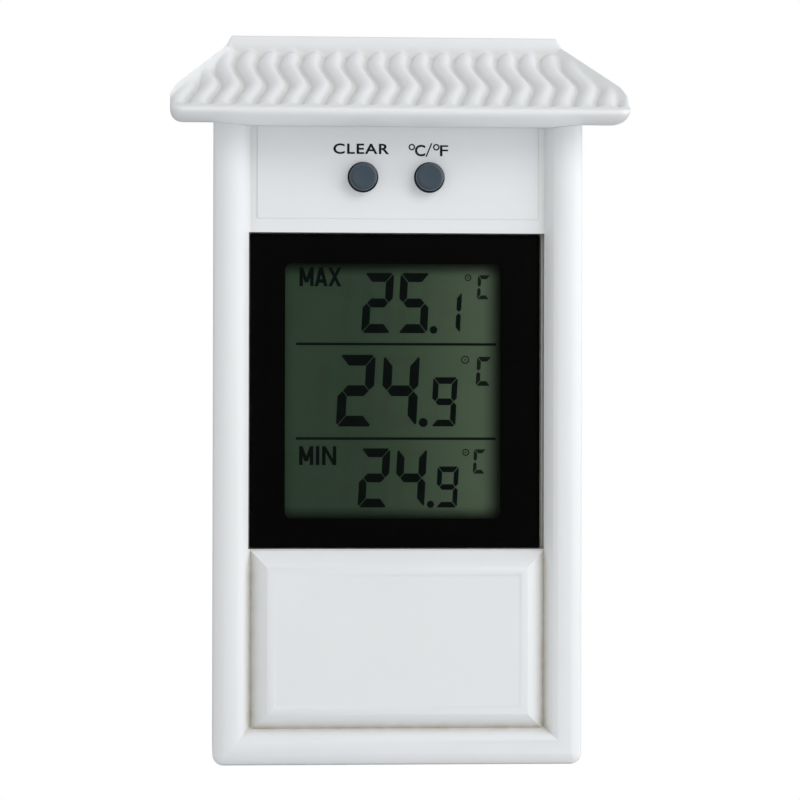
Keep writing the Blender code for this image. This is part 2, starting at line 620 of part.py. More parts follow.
# ---- buttons and switches -----------------------------------------------------------------------
def push_buttons():
    """Each cap is held behind the face by a flange and presses the plunger of its own switch."""
    flange = (-PLATE_BACK_Y - GAP, -PLATE_BACK_Y - GAP - FLANGE_T)
    stem = flange[1] - GAP
    front = -BUTTON_FRONT_Y
    cap = [(0.0, front - 0.12), (BUTTON_R - 0.75, front - 0.05), (BUTTON_R - 0.35, front),
           (BUTTON_R - 0.1, front - 0.12), (BUTTON_R, front - 0.4), (BUTTON_R, flange[0]),
           (FLANGE_R, flange[0]), (FLANGE_R, flange[1]), (STEM_R, flange[1]), (STEM_R, stem), (0.0, stem)]
    near, far = stem - GAP, stem - GAP - PLUNGER_LENGTH
    plunger = [(0.0, near), (PLUNGER_R, near), (PLUNGER_R, far), (0.0, far)]
    for x, name in zip(BUTTON_X, BUTTON_NAMES):
        turned("button_" + name, cap, GREY, (x, 0, BUTTON_Z), (0, -1, 0), 24)
        turned("switch_plunger_" + name, plunger, BLACK, (x, 0, BUTTON_Z), (0, -1, 0), 20)
        can = box((x - SWITCH_HALF, SWITCH_FRONT_Y, BUTTON_Z - SWITCH_HALF),
                  (x + SWITCH_HALF, BOARD_Y[0] - THIN_GAP, BUTTON_Z + SWITCH_HALF), 0.2)
        body = add_part("switch_body_" + name, can, STEEL)
        cut(body, cylinder(PLUNGER_R + GAP, (x, PLATE_BACK_Y, BUTTON_Z), (x, -0.4, BUTTON_Z), 20))


# ---- board and its components -------------------------------------------------------------------
def circuit_board():
    plate = box((-BOARD_HALF, BOARD_Y[0], BOARD_Z[0]), (BOARD_HALF, BOARD_Y[1], BOARD_Z[1]))
    board = add_part("circuit_board", plate, BOARD)
    cut(board, posts(BOARD_SCREWS, 1.0, 0.0, 5.0, 16))
    rear = BOARD_Y[1] + THIN_GAP
    blob = [(5.2 * math.sin(math.radians(a)), 1.7 * math.cos(math.radians(a))) for a in range(0, 91, 15)]
    turned("controller_blob", blob + [(0.0, 0.0)], EPOXY, (9.0, rear, 70.0), (0, 1, 0), 28)
    can = [(0.0, 6.0), (0.8, 6.0), (1.0, 5.8), (1.0, 0.4), (1.15, 0.4), (1.15, 0.0), (0.0, 0.0)]
    turned("crystal_can", can, TIN, (-12.0, rear + 1.2, 62.0), (1, 0, 0), 16)
    add_part("capacitor", box((-12.0, rear, 74.0), (-8.8, rear + 1.5, 75.6), 0.15), CERAMIC)
    head = [(0.0, 2.0), (0.55, 1.85), (1.1, 1.3), (1.35, 0.4), (1.2, -0.8), (0.7, -1.5), (0.0, -1.7)]
    middle_y = sum(BOARD_Y) / 2
    turned("thermistor_head", head, SENSOR, (SENSOR_X, middle_y, 29.6), (0, 0, 1), 20)
    for side, name in ((-1, "left"), (1, "right")):
        route = [(SENSOR_X + side * spread, middle_y, z)
                 for spread, z in ((1.3, BOARD_Z[0] - 0.2), (1.3, 34.6), (0.6, 33.0), (0.45, 31.8))]
        wire("thermistor_lead_" + name, smooth_route(route, 4), 0.2, TIN)


# ---- battery bay --------------------------------------------------------------------------------
def battery_pieces():
    half = CELL_LENGTH / 2
    cell = [(0.0, half), (1.5, half), (1.9, half - 0.3), (1.9, half - 1.0), (4.6, half - 1.1),
            (CELL_R, half - 1.6), (CELL_R, -half + 0.5), (CELL_R - 0.5, -half), (0.0, -half)]
    turned("battery_cell", cell, CELL, (0, CELL_Y, CELL_Z), (1, 0, 0), 32)
    plate_z = (BAY_Z[0] + 0.6, BAY_Z[1] - 0.6)
    plate_x = (BAY_HALF - GAP - 0.4, BAY_HALF - GAP)
    for side, name in ((1, "positive"), (-1, "negative")):
        plate = add_part("battery_contact_" + name,
                         side_box(side, *plate_x, (BAY_FLOOR_Y + 0.7, CELL_Y + 4.6), plate_z), TIN)
        join(plate, side_box(side, plate_x[0] - 2.2, plate_x[0] + 0.2, (BAY_FLOOR_Y + 0.7, BAY_FLOOR_Y + 1.1),
                             (18.4, 20.0)))
        if side > 0:
            join(plate, contact_button(plate_x[0]))
    battery_spring(-plate_x[0] + THIN_GAP + 0.28, -half - 0.35)


def contact_button(plate_x):
    """The pressed cone that meets the cell's positive end."""
    bm = bmesh.new()
    tip = CELL_LENGTH / 2 + GAP
    bmesh.ops.create_cone(bm, cap_ends=True, segments=20, radius1=3.2, radius2=1.4, depth=plate_x + 0.2 - tip)
    turn = Vector((-1, 0, 0)).to_track_quat("Z", "Y").to_matrix().to_4x4()
    middle = Vector(((plate_x + 0.2 + tip) / 2, CELL_Y, CELL_Z))
    bmesh.ops.transform(bm, verts=bm.verts, matrix=Matrix.Translation(middle) @ turn)
    return bm


def battery_spring(start_x, end_x, turns=3.5, steps=14):
    """A conical spring that tapers towards the cell."""
    points = []
    count = int(turns * steps)
    for step in range(count + 1):
        share = step / count
        radius = 4.0 - 1.6 * share
        angle = 2 * math.pi * turns * share
        points.append((start_x + (end_x - start_x) * share, CELL_Y + radius * math.cos(angle),
                       CELL_Z + radius * math.sin(angle)))
    wire("battery_spring", points, 0.25, STEEL)


def battery_leads():
    """From the contacts' tabs, through the bay's front wall and up to the board's lower edge."""
    for side, name, mat, foot in ((1, "positive", RED, 19.5), (-1, "negative", DARK_WIRE, 17.0)):
        route = [(side * 23.7, BAY_FLOOR_Y + 0.1, 19.2), (side * 23.7, 1.4, 19.3), (side * 23.5, 0.2, 21.0),
                 (side * 22.8, -0.1, 26.0), (side * 21.0, 0.4, 31.0), (side * foot, 1.8, 34.2),
                 (side * foot, 2.1, BOARD_Z[0] - 0.2)]
        wire("battery_lead_" + name, smooth_route(route, 5), 0.5, mat)


def battery_door():
    """A flat lid that swings on two pins at its lower edge, with a sprung tongue at the top."""
    edge = arc((HINGE_Y, HINGE_Z), (DOOR_T / 2, DOOR_T / 2), 0, -180, 8)
    outline = edge + [(BACK_Y - DOOR_T, DOOR_Z[1] - 0.2), (BACK_Y - DOOR_T + 0.2, DOOR_Z[1]),
                      (BACK_Y - 0.2, DOOR_Z[1]), (BACK_Y, DOOR_Z[1] - 0.2)]
    door = add_part("battery_door", side_prism(outline, DOOR_HALF), CASE, (0, HINGE_Y, HINGE_Z))
    pin_end = DOOR_HALF + PIN_LENGTH
    join(door, cylinder(PIN_R, (-pin_end, HINGE_Y, HINGE_Z), (pin_end, HINGE_Y, HINGE_Z), 12))
    tongue = THUMB_HALF + 0.6
    cut(door, together(side_box(side, tongue, tongue + 0.8, (10.0, PAST_BACK_Y), (17.5, 30.0))
                       for side in (-1, 1)))
    grip = THUMB_HALF - 1.0
    cut(door, together(box((-grip, BACK_Y - 0.4, z - 0.35), (grip, PAST_BACK_Y, z + 0.35))
                       for z in (19.4, 20.9, 22.4)))


# ---- fasteners ------------------------------------------------------------------------------------
def screw(name, place, axis, head, shank, shank_length, mat=STEEL):
    """A pan-head screw; place is the underside of its head, axis points out of its head."""
    head_r, head_h = head
    profile = [(0.0, head_h), (head_r * 0.55, head_h), (head_r * 0.9, head_h * 0.75), (head_r, head_h * 0.4),
               (head_r, 0.0), (shank, 0.0), (shank, -shank_length + 1.2), (0.0, -shank_length)]
    obj = turned(name, profile, mat, place, axis, 16)
    arm, half = head_r * 0.55, head_r * 0.14
    quarter = [(arm, -half), (arm, half), (half, half)]
    cross = []
    for step in range(4):
        turn = Matrix.Rotation(step * math.pi / 2, 2)
        cross += [tuple(turn @ Vector(point)) for point in quarter]
    bm = loft([[(x, y, z) for x, y in cross] for z in (head_h * 0.45, head_h + 1.0)])
    tilt = Vector(axis).to_track_quat("Z", "Y").to_matrix().to_4x4()
    bmesh.ops.transform(bm, verts=bm.verts, matrix=Matrix.Translation(Vector(place)) @ tilt)
    cut(obj, bm)


def fasteners():
    for i, (x, z) in enumerate(CASE_SCREWS, 1):
        screw(f"case_screw_{i}", (x, BACK_Y - 2.5, z), (0, 1, 0), (2.1, 1.5), 1.1, 15.0)
    for i, (x, z) in enumerate(BOARD_SCREWS, 1):
        screw(f"board_screw_{i}", (x, BOARD_Y[1] + THIN_GAP, z), (0, 1, 0), (1.6, 1.1), 0.8, 4.4)
    for i, (x, y) in enumerate(ROOF_SCREWS, 1):
        screw(f"roof_screw_{i}", (x, y, COVER_TOP - THIN_GAP), (0, 0, -1), (2.1, 1.4), 1.05, 8.5)


def shade_round_pieces():
    for obj in PARTS.objects:
        if obj.type == "MESH":
            obj.data.shade_smooth()
            obj.data.set_sharp_from_angle(angle=math.radians(35))


def main():
    clear_scene()
    front_housing()
    back_cover()
    roof()
    window_and_display()
    push_buttons()
    circuit_board()
    battery_pieces()
    battery_leads()
    battery_door()
    fasteners()
    shade_round_pieces()


main()
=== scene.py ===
"""The looks of the maximum minimum thermometer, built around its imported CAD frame.

Lengths are in millimetres and become metres in add_piece. The object's front faces -Y, its roof is up
and it stands on z = 0, as in the CAD.
"""
import json
import math

import bmesh
import bpy
from mathutils import Matrix, Vector

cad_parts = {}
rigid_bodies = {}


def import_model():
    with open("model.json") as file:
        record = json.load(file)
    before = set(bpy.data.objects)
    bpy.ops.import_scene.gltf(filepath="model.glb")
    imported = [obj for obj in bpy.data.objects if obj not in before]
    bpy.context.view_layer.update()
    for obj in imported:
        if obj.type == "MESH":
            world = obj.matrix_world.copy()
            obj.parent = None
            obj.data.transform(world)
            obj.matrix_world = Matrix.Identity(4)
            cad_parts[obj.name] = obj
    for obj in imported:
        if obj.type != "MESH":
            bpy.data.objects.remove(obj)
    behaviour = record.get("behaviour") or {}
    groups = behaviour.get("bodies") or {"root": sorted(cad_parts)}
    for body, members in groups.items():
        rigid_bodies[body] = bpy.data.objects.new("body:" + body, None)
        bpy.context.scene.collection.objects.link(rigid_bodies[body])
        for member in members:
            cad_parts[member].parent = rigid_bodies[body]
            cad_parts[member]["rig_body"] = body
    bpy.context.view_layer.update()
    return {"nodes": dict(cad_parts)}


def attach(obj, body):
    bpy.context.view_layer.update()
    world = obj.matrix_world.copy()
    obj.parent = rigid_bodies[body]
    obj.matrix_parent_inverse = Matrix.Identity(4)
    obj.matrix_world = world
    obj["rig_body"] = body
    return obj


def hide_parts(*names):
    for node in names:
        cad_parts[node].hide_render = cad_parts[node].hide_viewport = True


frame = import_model()

MM = 0.001
GAP = 0.3  # between pieces that touch
THIN_GAP = 0.1  # between the layers of the display
SEAM = 0.02  # where the roof rests on the case

# ---- camera and studio ----
CAMERA_PLACE = (-34.84, -560.4, 64.53)
CAMERA_YAW = 3.637  # degrees to the right of +Y
CAMERA_PITCH = 0.162
CAMERA_ROLL = 0.121
CAMERA_LENS = 137.58
SENSOR = 36.0
CLIP = (0.05, 20.0)  # metres
FLOOR_HALF = 4000.0
SURROUND = 0.635  # strength of the light from all around
WHITE = (1.0, 1.0, 1.0, 1.0)
MIRRORED = 0.02  # strength of the dark room that glossy surfaces mirror
LIGHTS = (  # name, place, height aimed at, size, watts
    ("key", (420, -540, 550), 75, 380, 1.8),
    ("side", (700, -250, 150), 65, 460, 1.6),
    ("fill", (-700, -300, 110), 65, 500, 0.13),
)

# ---- case ----
BODY_HALF = 33.5
BODY_TOP = 124.0  # cut back by the roof's underside
CORNER_R = 2.0
WALL = 1.8
RIM_CHAMFER = 0.15
BACK_Y = 16.5
PARTING_Y = 5.0
CAVITY_HALF = BODY_HALF - WALL
CAVITY_TOP = 112.5
PAST_FRONT_Y = -12.0  # cutters reach out to here
PAST_BACK_Y = 20.0
PAST_TOP = 170.0

# ---- front face ----
FACE_Y = -5.4
CREST_Y = -8.6  # front of the columns
COLUMN_W = 6.7
CREST_MIDDLE = 2.9  # from the case's side
CREST_HALF = 2.5
CREST_TILT = 38.0  # degrees, at both edges of the crest
LEDGE_BACK_Y = -2.35
PLATE_BACK_Y = -3.8
FACE_HALF = BODY_HALF - COLUMN_W
VALLEY = 0.03
RECESS_HALF = FACE_HALF - VALLEY
OVERLAP = 0.5  # of shapes that are joined
FIELD_STEP = 0.12  # height of the field around the buttons
FIELD_EDGE = ((0.0, 1 / 3), (0.06, 0.75), (0.16, 0.95), (0.25, 1.0))  # inwards, share of the step
FIELD_MARGIN = (1.15, 2.6)  # from the columns and from the lens
FIELD_TOP = 119.0
FIELD_CORNER = 0.3
PANEL_HEIGHT = 2.4
PANEL_BEVEL = 3.3
PANEL_CURVE = 1.35
PANEL_STEPS = 18
PANEL_BEAD = ((0.35, 0.05), (0.95, 0.06), (1.15, -0.04), (1.5, -0.06))  # inwards, forwards of the bevel
PANEL_SEAT = 0.12
PANEL_TUCK = 0.7  # how far it reaches in under the bottom rail
PANEL_DROP = 0.2  # below the lens
PANEL_HOLLOW = (4.5, 5.0, 0.4)  # from its sides and foot, from the lens, forwards of the face
BUTTON_POCKET = (1.5, 1.6)  # behind the buttons: from the columns and from the lens
COLUMN_HOLLOW = (1.7, 2.0, 1.5)  # from the face, from the crest, up from the floor

# ---- lens and display ----
LENS_X = -0.4
LENS_HALF = 26.55
LENS_Z = (39.1, 96.4)
LENS_T = 1.2
RECESS_PLAY = 0.35  # behind the lens
LENS_CORNER = 0.5
RECESS_LEFT = 27.08  # the lens's recess reaches a little under the left column
LENS_EDGE = 0.12  # polished chamfer
WINDOW_X = -0.8
WINDOW_HALF = 19.65
WINDOW_Z = (44.5, 90.9)
WINDOW_CORNER = 1.2
WINDOW_PLAY = 0.5  # around it, in the housing
MASK_T = 0.15
MASK_INSET = 0.05
PRINT_Y = -2.256  # the segments lie just in front of the front polariser
PRINT_T = 0.006
GHOST_Y = -2.2515
GHOST_T = 0.001
SLANT = math.tan(math.radians(3.0))
STROKE = 0.15  # of a digit's height
SMALL_STROKE = 0.135
SIDE_STROKE = 0.86  # of the level bars' stroke
BAR_GAP = 0.09
BAR_CUT = 0.3  # of the stroke, at a digit's corners
LIT = {"1": "bc", "2": "abged", "4": "fgbc", "5": "afgcd", "9": "abcdfg", "C": "afed"}
BIG_ROWS = (  # digits, z of the base, height, width, x of each digit, middle and radius of the dot
    ("25", 78.35, 11.0, 5.45, (-6.5, 0.14), (6.77, 78.97, 0.7)),
    ("24", 61.25, 13.1, 6.6, (-11.1, -3.0), (4.91, 62.0, 0.82)),
    ("24", 46.45, 10.82, 5.45, (-7.09, -0.37), (6.27, 47.03, 0.66)),
)
SMALL_DIGITS = (("1", 7.7, 78.4, 7.5, 3.9), ("9", 6.28, 61.3, 9.0, 4.5), ("9", 7.19, 46.45, 7.5, 3.9))
SPARE_DIGITS = (("1", -19.3, 61.25, 13.1, 6.5), ("1", -14.2, 78.4, 10.8, 5.4), ("1", -14.2, 46.45, 10.82, 5.45))
UNIT_MARKS = (  # x, z, radius of the ring, then x, z, height and width of the C
    (13.09, 88.55, 0.62, 14.7, 84.6, 4.4, 2.3),
    (12.58, 73.5, 0.74, 14.52, 68.75, 5.3, 2.7),
    (12.72, 56.55, 0.64, 14.02, 52.65, 4.45, 2.25),
)
UNIT_STROKE = 0.16  # of the C's height
UNIT_RING = 0.2
UNIT_DOT = 0.16
LETTER_STROKES = {  # from and to, as shares of the letter's width and height
    "M": [((0, 0), (0, 1)), ((0, 1), (0.5, 0.2)), ((0.5, 0.2), (1, 1)), ((1, 1), (1, 0))],
    "A": [((0, 0), (0.5, 1)), ((0.5, 1), (1, 0)), ((0.2, 0.28), (0.8, 0.28))],
    "X": [((0, 0), (1, 1)), ((0, 1), (1, 0))],
    "I": [((0.5, 0), (0.5, 1))],
    "N": [((0, 0), (0, 1)), ((0, 1), (1, 0)), ((1, 0), (1, 1))],
}
WORD_STROKE = 0.64
WORDS = (  # the word, its z range and the x range of each letter
    ("MAX", (86.85, 90.3), ((-17.8, -15.2), (-15.05, -12.65), (-12.55, -10.15))),
    ("MIN", (54.2, 57.65), ((-17.8, -15.2), (-14.7, -14.14), (-13.6, -11.0))),
)
RULES_Z = (76.32, 59.05)
RULE_X = (-18.4, 18.25)
RULE_T = 0.46

# ---- printed labels ----
LABEL_T = 0.01
LABEL_Y = FACE_Y - FIELD_STEP - 0.012
CLEAR_LABEL = ("CLEAR", (-11.8, -1.65), (110.78, 112.7), 0.022, 1.12)  # ranges, weight, spacing
LABEL_RING_X = (2.49, 6.95)
LABEL_RING_Z = 112.12
LABEL_RING = (0.6, 0.25)  # radius and stroke of the degree sign
LABEL_LETTERS = (  # letter, x range, z range, weight
    ("C", (3.05, 4.95), (110.45, 112.55), 0.022),
    ("/", (4.95, 6.25), (110.35, 112.85), -0.01),
    ("F", (7.62, 9.1), (110.5, 112.5), 0.009),
)

# ---- push buttons ----
BUTTON_X = (-6.4, 5.7)
BUTTON_Z = 106.6
BUTTON_R = 2.5
BUTTON_HOLE_R = 2.8
BUTTON_FRONT_Y = -7.9
BUTTON_RIM = 0.6
BUTTON_DOME = ((0.0, 0.1), (0.9, 0.085), (1.6, 0.03))  # radius, depth behind the front
BUTTON_NAMES = ("clear", "unit")
FLANGE_R = 3.5
FLANGE_T = 0.6
STEM_R = 1.4

# ---- board, screws and battery ----
BOARD_Y = (1.5, 2.7)
BOARD_SCREWS = [(x, z) for x in (-24.2, 24.2) for z in (38.6, 98.6)]
BOARD_POST_R = 1.7
BOARD_BORE_R = 0.95
CASE_SCREWS = [(x, z) for x in (-28.6, 28.6) for z in (31.5, 107.5)]
CASE_BOSS_R = 2.5
CASE_BORE_R = 1.3
BOSS_WALL = 1.0  # in front of a boss
BORE_WALL = 0.2
ROOF_SCREWS = [(-17.0, 9.5), (17.0, 9.5)]
ROOF_BOSS = (2.4, 0.4, 130.0)  # radius, above the underside, top
ROOF_BORE = (1.25, 128.0)
COVER_TOP = 114.6
SCREWS = (  # name, head's underside, axis, head's radius and height, shank's radius and length
    ("case_screw", [(x, BACK_Y - 2.5, z) for x, z in CASE_SCREWS], (0, 1, 0), 2.1, 1.5, 1.1, 15.0),
    ("board_screw", [(x, BOARD_Y[1] + THIN_GAP, z) for x, z in BOARD_SCREWS], (0, 1, 0), 1.6, 1.1, 0.8, 4.4),
    ("roof_screw", [(x, y, COVER_TOP - THIN_GAP) for x, y in ROOF_SCREWS], (0, 0, -1), 2.1, 1.4, 1.05, 8.5),
)
THREAD_PITCH = 0.5
THREAD_CORE = 0.86  # of the shank's radius
CELL_R = 5.25
CELL_LENGTH = 44.5
CELL_Y = 8.9
CELL_Z = 16.3
CELL_ROLL = 0.5  # radius of the sleeve's rolled edges
CELL_SHOULDER = 1.1  # from the positive end to the sleeve
CELL_FOOT_R = 3.6
CELL_CAP = ((0.0, 0.0), (1.6, 0.0), (1.82, 0.1), (1.9, 0.3), (1.9, 1.0), (4.4, 1.15))  # radius, from its end

# ---- roof ----
ROOF_HALF = 41.3
EAVE_Y = -16.48
EAVE_MIDDLE = 117.6  # height of the eave's foremost line
EAVE_UNDER = (6.0, 2.15)  # depth and height of its rounding below that line
EAVE_OVER = 0.8  # radius of its rounding above
EAVE_ARCS = ((268, 180, 16), (172, 125, 6))  # degrees and steps, below and above
SLOPE_START = (-15.3, 118.4)
SLOPE_END = (6.0, 131.1)
RIDGE_TOP = 133.6
SLOPE_LENGTH = math.dist(SLOPE_START, SLOPE_END)
SOFFIT = [(-10.5, 115.45), (-5.4, 115.8), (16.5, 119.6)]
END_R = 2.2
END_TURN = 2.0  # how far the eave turns back at its ends
END_FADE = 4.0  # height above the underside up to which its ends are rounded
END_FRONT = (-10.0, 6.0)  # y where the turn starts and depth over which it grows
END_ANGLES = range(10, 91, 10)
SIDE_HOLLOW = 0.3  # share of the eave's lower half missing beyond the case
HOLLOW_RAMP = (27.5, 33.0)  # it grows over the columns
OUTLINE = [(0.0, RIDGE_TOP), (30.1, RIDGE_TOP), (31.4, 131.4), (40.3, 122.9), (ROOF_HALF, 120.9)]
TILE_PITCH = 4.0
TILE_FAN = 0.026
TILE_DEPTH = 1.45
TILE_HEAD = 0.075  # middles of the tiles' round heads, as a share of the slope
TILE_FOOT = 0.9  # middles of the round ends of the grooves
GROOVE_ROUND = 0.12  # of half the pitch
GROOVE_CURVE = 2.2
RIDGE_FILLET = (1.2, 0.8)  # length and height of the rounding at the foot of the ridge
RIDGE_FACE = ((0.1, 0.3), (0.14, 1.0))  # back and up from the top of the tiles
RIDGE_EDGE = ((0.2, 0.6), (0.32, 0.25), (0.55, 0.06), (0.9, 0.0))  # back from there, below the top
RIDGE_CHAMFER = 0.3  # at the back
TILE_SHIFT = 0.25
TILE_SWAY = 2.0
SWAY_PLACE = (0.575, 0.212)
HEAD_TURN = (4.5, 0.22)
HIP_RIB = 0.75
HIP_WIDTH = 2.1
HIP_FOOT = 0.55  # the flank's depth at that width
HIP_EDGE = 0.3  # width of its flat top
HIP_BLEND = 0.35
ROOF_STEP = 0.2  # between sections along X
ROOF_CELLS = 110  # down the slope
ROOF_HOLLOW = [(-2.0, 100.0), (-2.0, 122.6), (8.5, 129.2), (14.5, 131.0), (14.5, 100.0)]
HOLLOW_HALF = 27.0


# ---- building helpers ----
def add_piece(name, bm, mat, body="case", replaces=(), smooth_below=35.0):
    """A piece from a bmesh in millimetres, riding on a CAD body and standing for CAD nodes."""
    bmesh.ops.scale(bm, verts=bm.verts, vec=(MM, MM, MM))
    bmesh.ops.recalc_face_normals(bm, faces=bm.faces)
    dress(name, mesh_from(bm), mat, body, replaces, smooth_below)


def mesh_from(bm):
    mesh = bpy.data.meshes.new("work")
    bm.to_mesh(mesh)
    bm.free()
    return mesh


def in_scene(name, data):
    obj = bpy.data.objects.new(name, data)
    bpy.context.scene.collection.objects.link(obj)
    return obj


def dress(name, mesh, mat, body, replaces, smooth_below):
    """Give a mesh its material, shading, body, slot and the nodes it stands for."""
    mesh.materials.clear()
    mesh.materials.append(mat)
    mesh.shade_smooth()
    mesh.set_sharp_from_angle(angle=math.radians(smooth_below))
    obj = in_scene(name, mesh)
    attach(obj, body)
    if replaces:
        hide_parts(*replaces)
    return obj


def solid_object(bm):
    """A plain object for Boolean work, from a bmesh in millimetres."""
    bmesh.ops.recalc_face_normals(bm, faces=bm.faces)
    return in_scene("work", mesh_from(bm))


def combine(start, steps):
    """A bmesh after a list of ("DIFFERENCE" or "UNION", solid) steps on a starting bmesh."""
    base = solid_object(start)
    tools = []
    for operation, solid in steps:
        modifier = base.modifiers.new("step", "BOOLEAN")
        modifier.operation = operation
        modifier.solver = "EXACT"
        modifier.object = solid_object(solid)
        tools.append(modifier.object)
    graph = bpy.context.evaluated_depsgraph_get()
    result = bmesh.new()
    result.from_object(base, graph)
    for obj in [base] + tools:
        bpy.data.objects.remove(obj, do_unlink=True)
    return result


def box(low, high):
    bm = bmesh.new()
    bmesh.ops.create_cube(bm, size=1.0)
    low, high = Vector(low), Vector(high)
    bmesh.ops.scale(bm, verts=bm.verts, vec=high - low)
    bmesh.ops.translate(bm, verts=bm.verts, vec=(low + high) / 2)
    return bm


def moved(bm, place, axis):
    """Turn a solid's +Z towards axis and move its origin to place."""
    turn = Vector(axis).to_track_quat("Z", "Y").to_matrix().to_4x4()
    bmesh.ops.transform(bm, verts=bm.verts, matrix=Matrix.Translation(Vector(place)) @ turn)
    return bm


def cylinder(radius, start, end, segments=48):
    start, end = Vector(start), Vector(end)
    bm = bmesh.new()
    bmesh.ops.create_cone(bm, cap_ends=True, segments=segments, radius1=radius, radius2=radius,
                          depth=(end - start).length)
    return moved(bm, (start + end) / 2, end - start)


def loft(rings, endless=False):
    """A solid through rings of as many points each, capped at both ends or joined into a loop."""
    bm = bmesh.new()
    rows = [[bm.verts.new(point) for point in ring] for ring in rings]
    count = len(rows[0])
    for row, following in zip(rows, rows[1:] + rows[:1] if endless else rows[1:]):
        for i in range(count):
            j = (i + 1) % count
            bm.faces.new((row[i], row[j], following[j], following[i]))
    if not endless:
        bm.faces.new(rows[0])
        bm.faces.new(rows[-1])
    bmesh.ops.remove_doubles(bm, verts=bm.verts, dist=1e-4)
    return bm


def together(solids):
    """Several solids that don't meet, as one bmesh."""
    result = bmesh.new()
    for solid in solids:
        mesh = mesh_from(solid)
        result.from_mesh(mesh)
        bpy.data.meshes.remove(mesh)
    return result


def turned(profile, place, axis, segments):
    """A turned solid: (radius, height) points from top to bottom, with its top towards axis."""
    bm = bmesh.new()
    rings = []
    for radius, height in profile:
        if radius == 0.0:
            rings.append([bm.verts.new((0.0, 0.0, height))])
        else:
            rings.append([bm.verts.new((x, y, height)) for x, y in circle((0.0, 0.0), radius, segments)])
    for upper, lower in zip(rings, rings[1:]):
        for i in range(segments):
            j = (i + 1) % segments
            corners = [row[k % len(row)] for row, k in ((upper, i), (upper, j), (lower, j), (lower, i))]
            bm.faces.new(list(dict.fromkeys(corners)))
    return moved(bm, place, axis)


def plate(outline, front_y, thickness):
    """A thin plate from an outline of (x, z) points, facing -Y."""
    return loft([[(x, y, z) for x, z in outline] for y in (front_y, front_y + thickness)])


def posts(places, radius, start_y, end_y, segments=32):
    return together(cylinder(radius, (x, start_y, z), (x, end_y, z), segments) for x, z in places)


def side_box(side, near, far, ys, zs):
    low, high = sorted((side * near, side * far))
    return box((low, ys[0], zs[0]), (high, ys[1], zs[1]))


def arc(centre, radii, start, end, steps):
    """Points of an elliptical arc, angles in degrees."""
    points = []
    for step in range(steps + 1):
        angle = math.radians(start + (end - start) * step / steps)
        points.append((centre[0] + radii[0] * math.cos(angle), centre[1] + radii[1] * math.sin(angle)))
    return points


def circle(centre, radius, count):
    return arc(centre, (radius, radius), 0, 360 - 360 / count, count - 1)


def clamped(value):
    return min(max(value, 0.0), 1.0)


def rounded_rectangle(half, span, radius, inset):
    """(x, z) points of a rectangle moved inwards; its corners keep what is left of their radius."""
    radius = max(radius - inset, 0.0)
    side, bottom, top = half - inset - radius, span[0] + inset + radius, span[1] - inset - radius
    points = []
    for x, z, start in ((side, top, 0), (-side, top, 90), (-side, bottom, 180), (side, bottom, 270)):
        points += arc((x, z), (radius, radius), start, start + 90, 10)
    return points


def frame_rings(profile, half, span, radius, middle_x=0.0):
    """Rings for a mitred frame: profile is a list of (distance in from the edge, y)."""
    return [[(x + middle_x, y, z) for x, z in rounded_rectangle(half, span, radius, inset)]
            for inset, y in profile]


def fine_copy(node, mat, soften):
    """A welded copy of a CAD node whose hard edges are softened."""
    source = frame["nodes"][node]
    bm = bmesh.new()
    bm.from_mesh(source.data)
    bmesh.ops.remove_doubles(bm, verts=bm.verts, dist=2e-6)
    bmesh.ops.dissolve_limit(bm, angle_limit=math.radians(0.4), verts=bm.verts, edges=bm.edges)
    mesh = mesh_from(bm)
    if "custom_normal" in mesh.attributes:
        mesh.attributes.remove(mesh.attributes["custom_normal"])
    obj = dress(f"{node}_soft", mesh, mat, source["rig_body"], [node], 180.0)
    bevel = obj.modifiers.new("edges", "BEVEL")
    bevel.width = soften * MM
    bevel.segments = 2
    bevel.limit_method = "ANGLE"
    bevel.angle_limit = math.radians(32)
    bevel.harden_normals = True


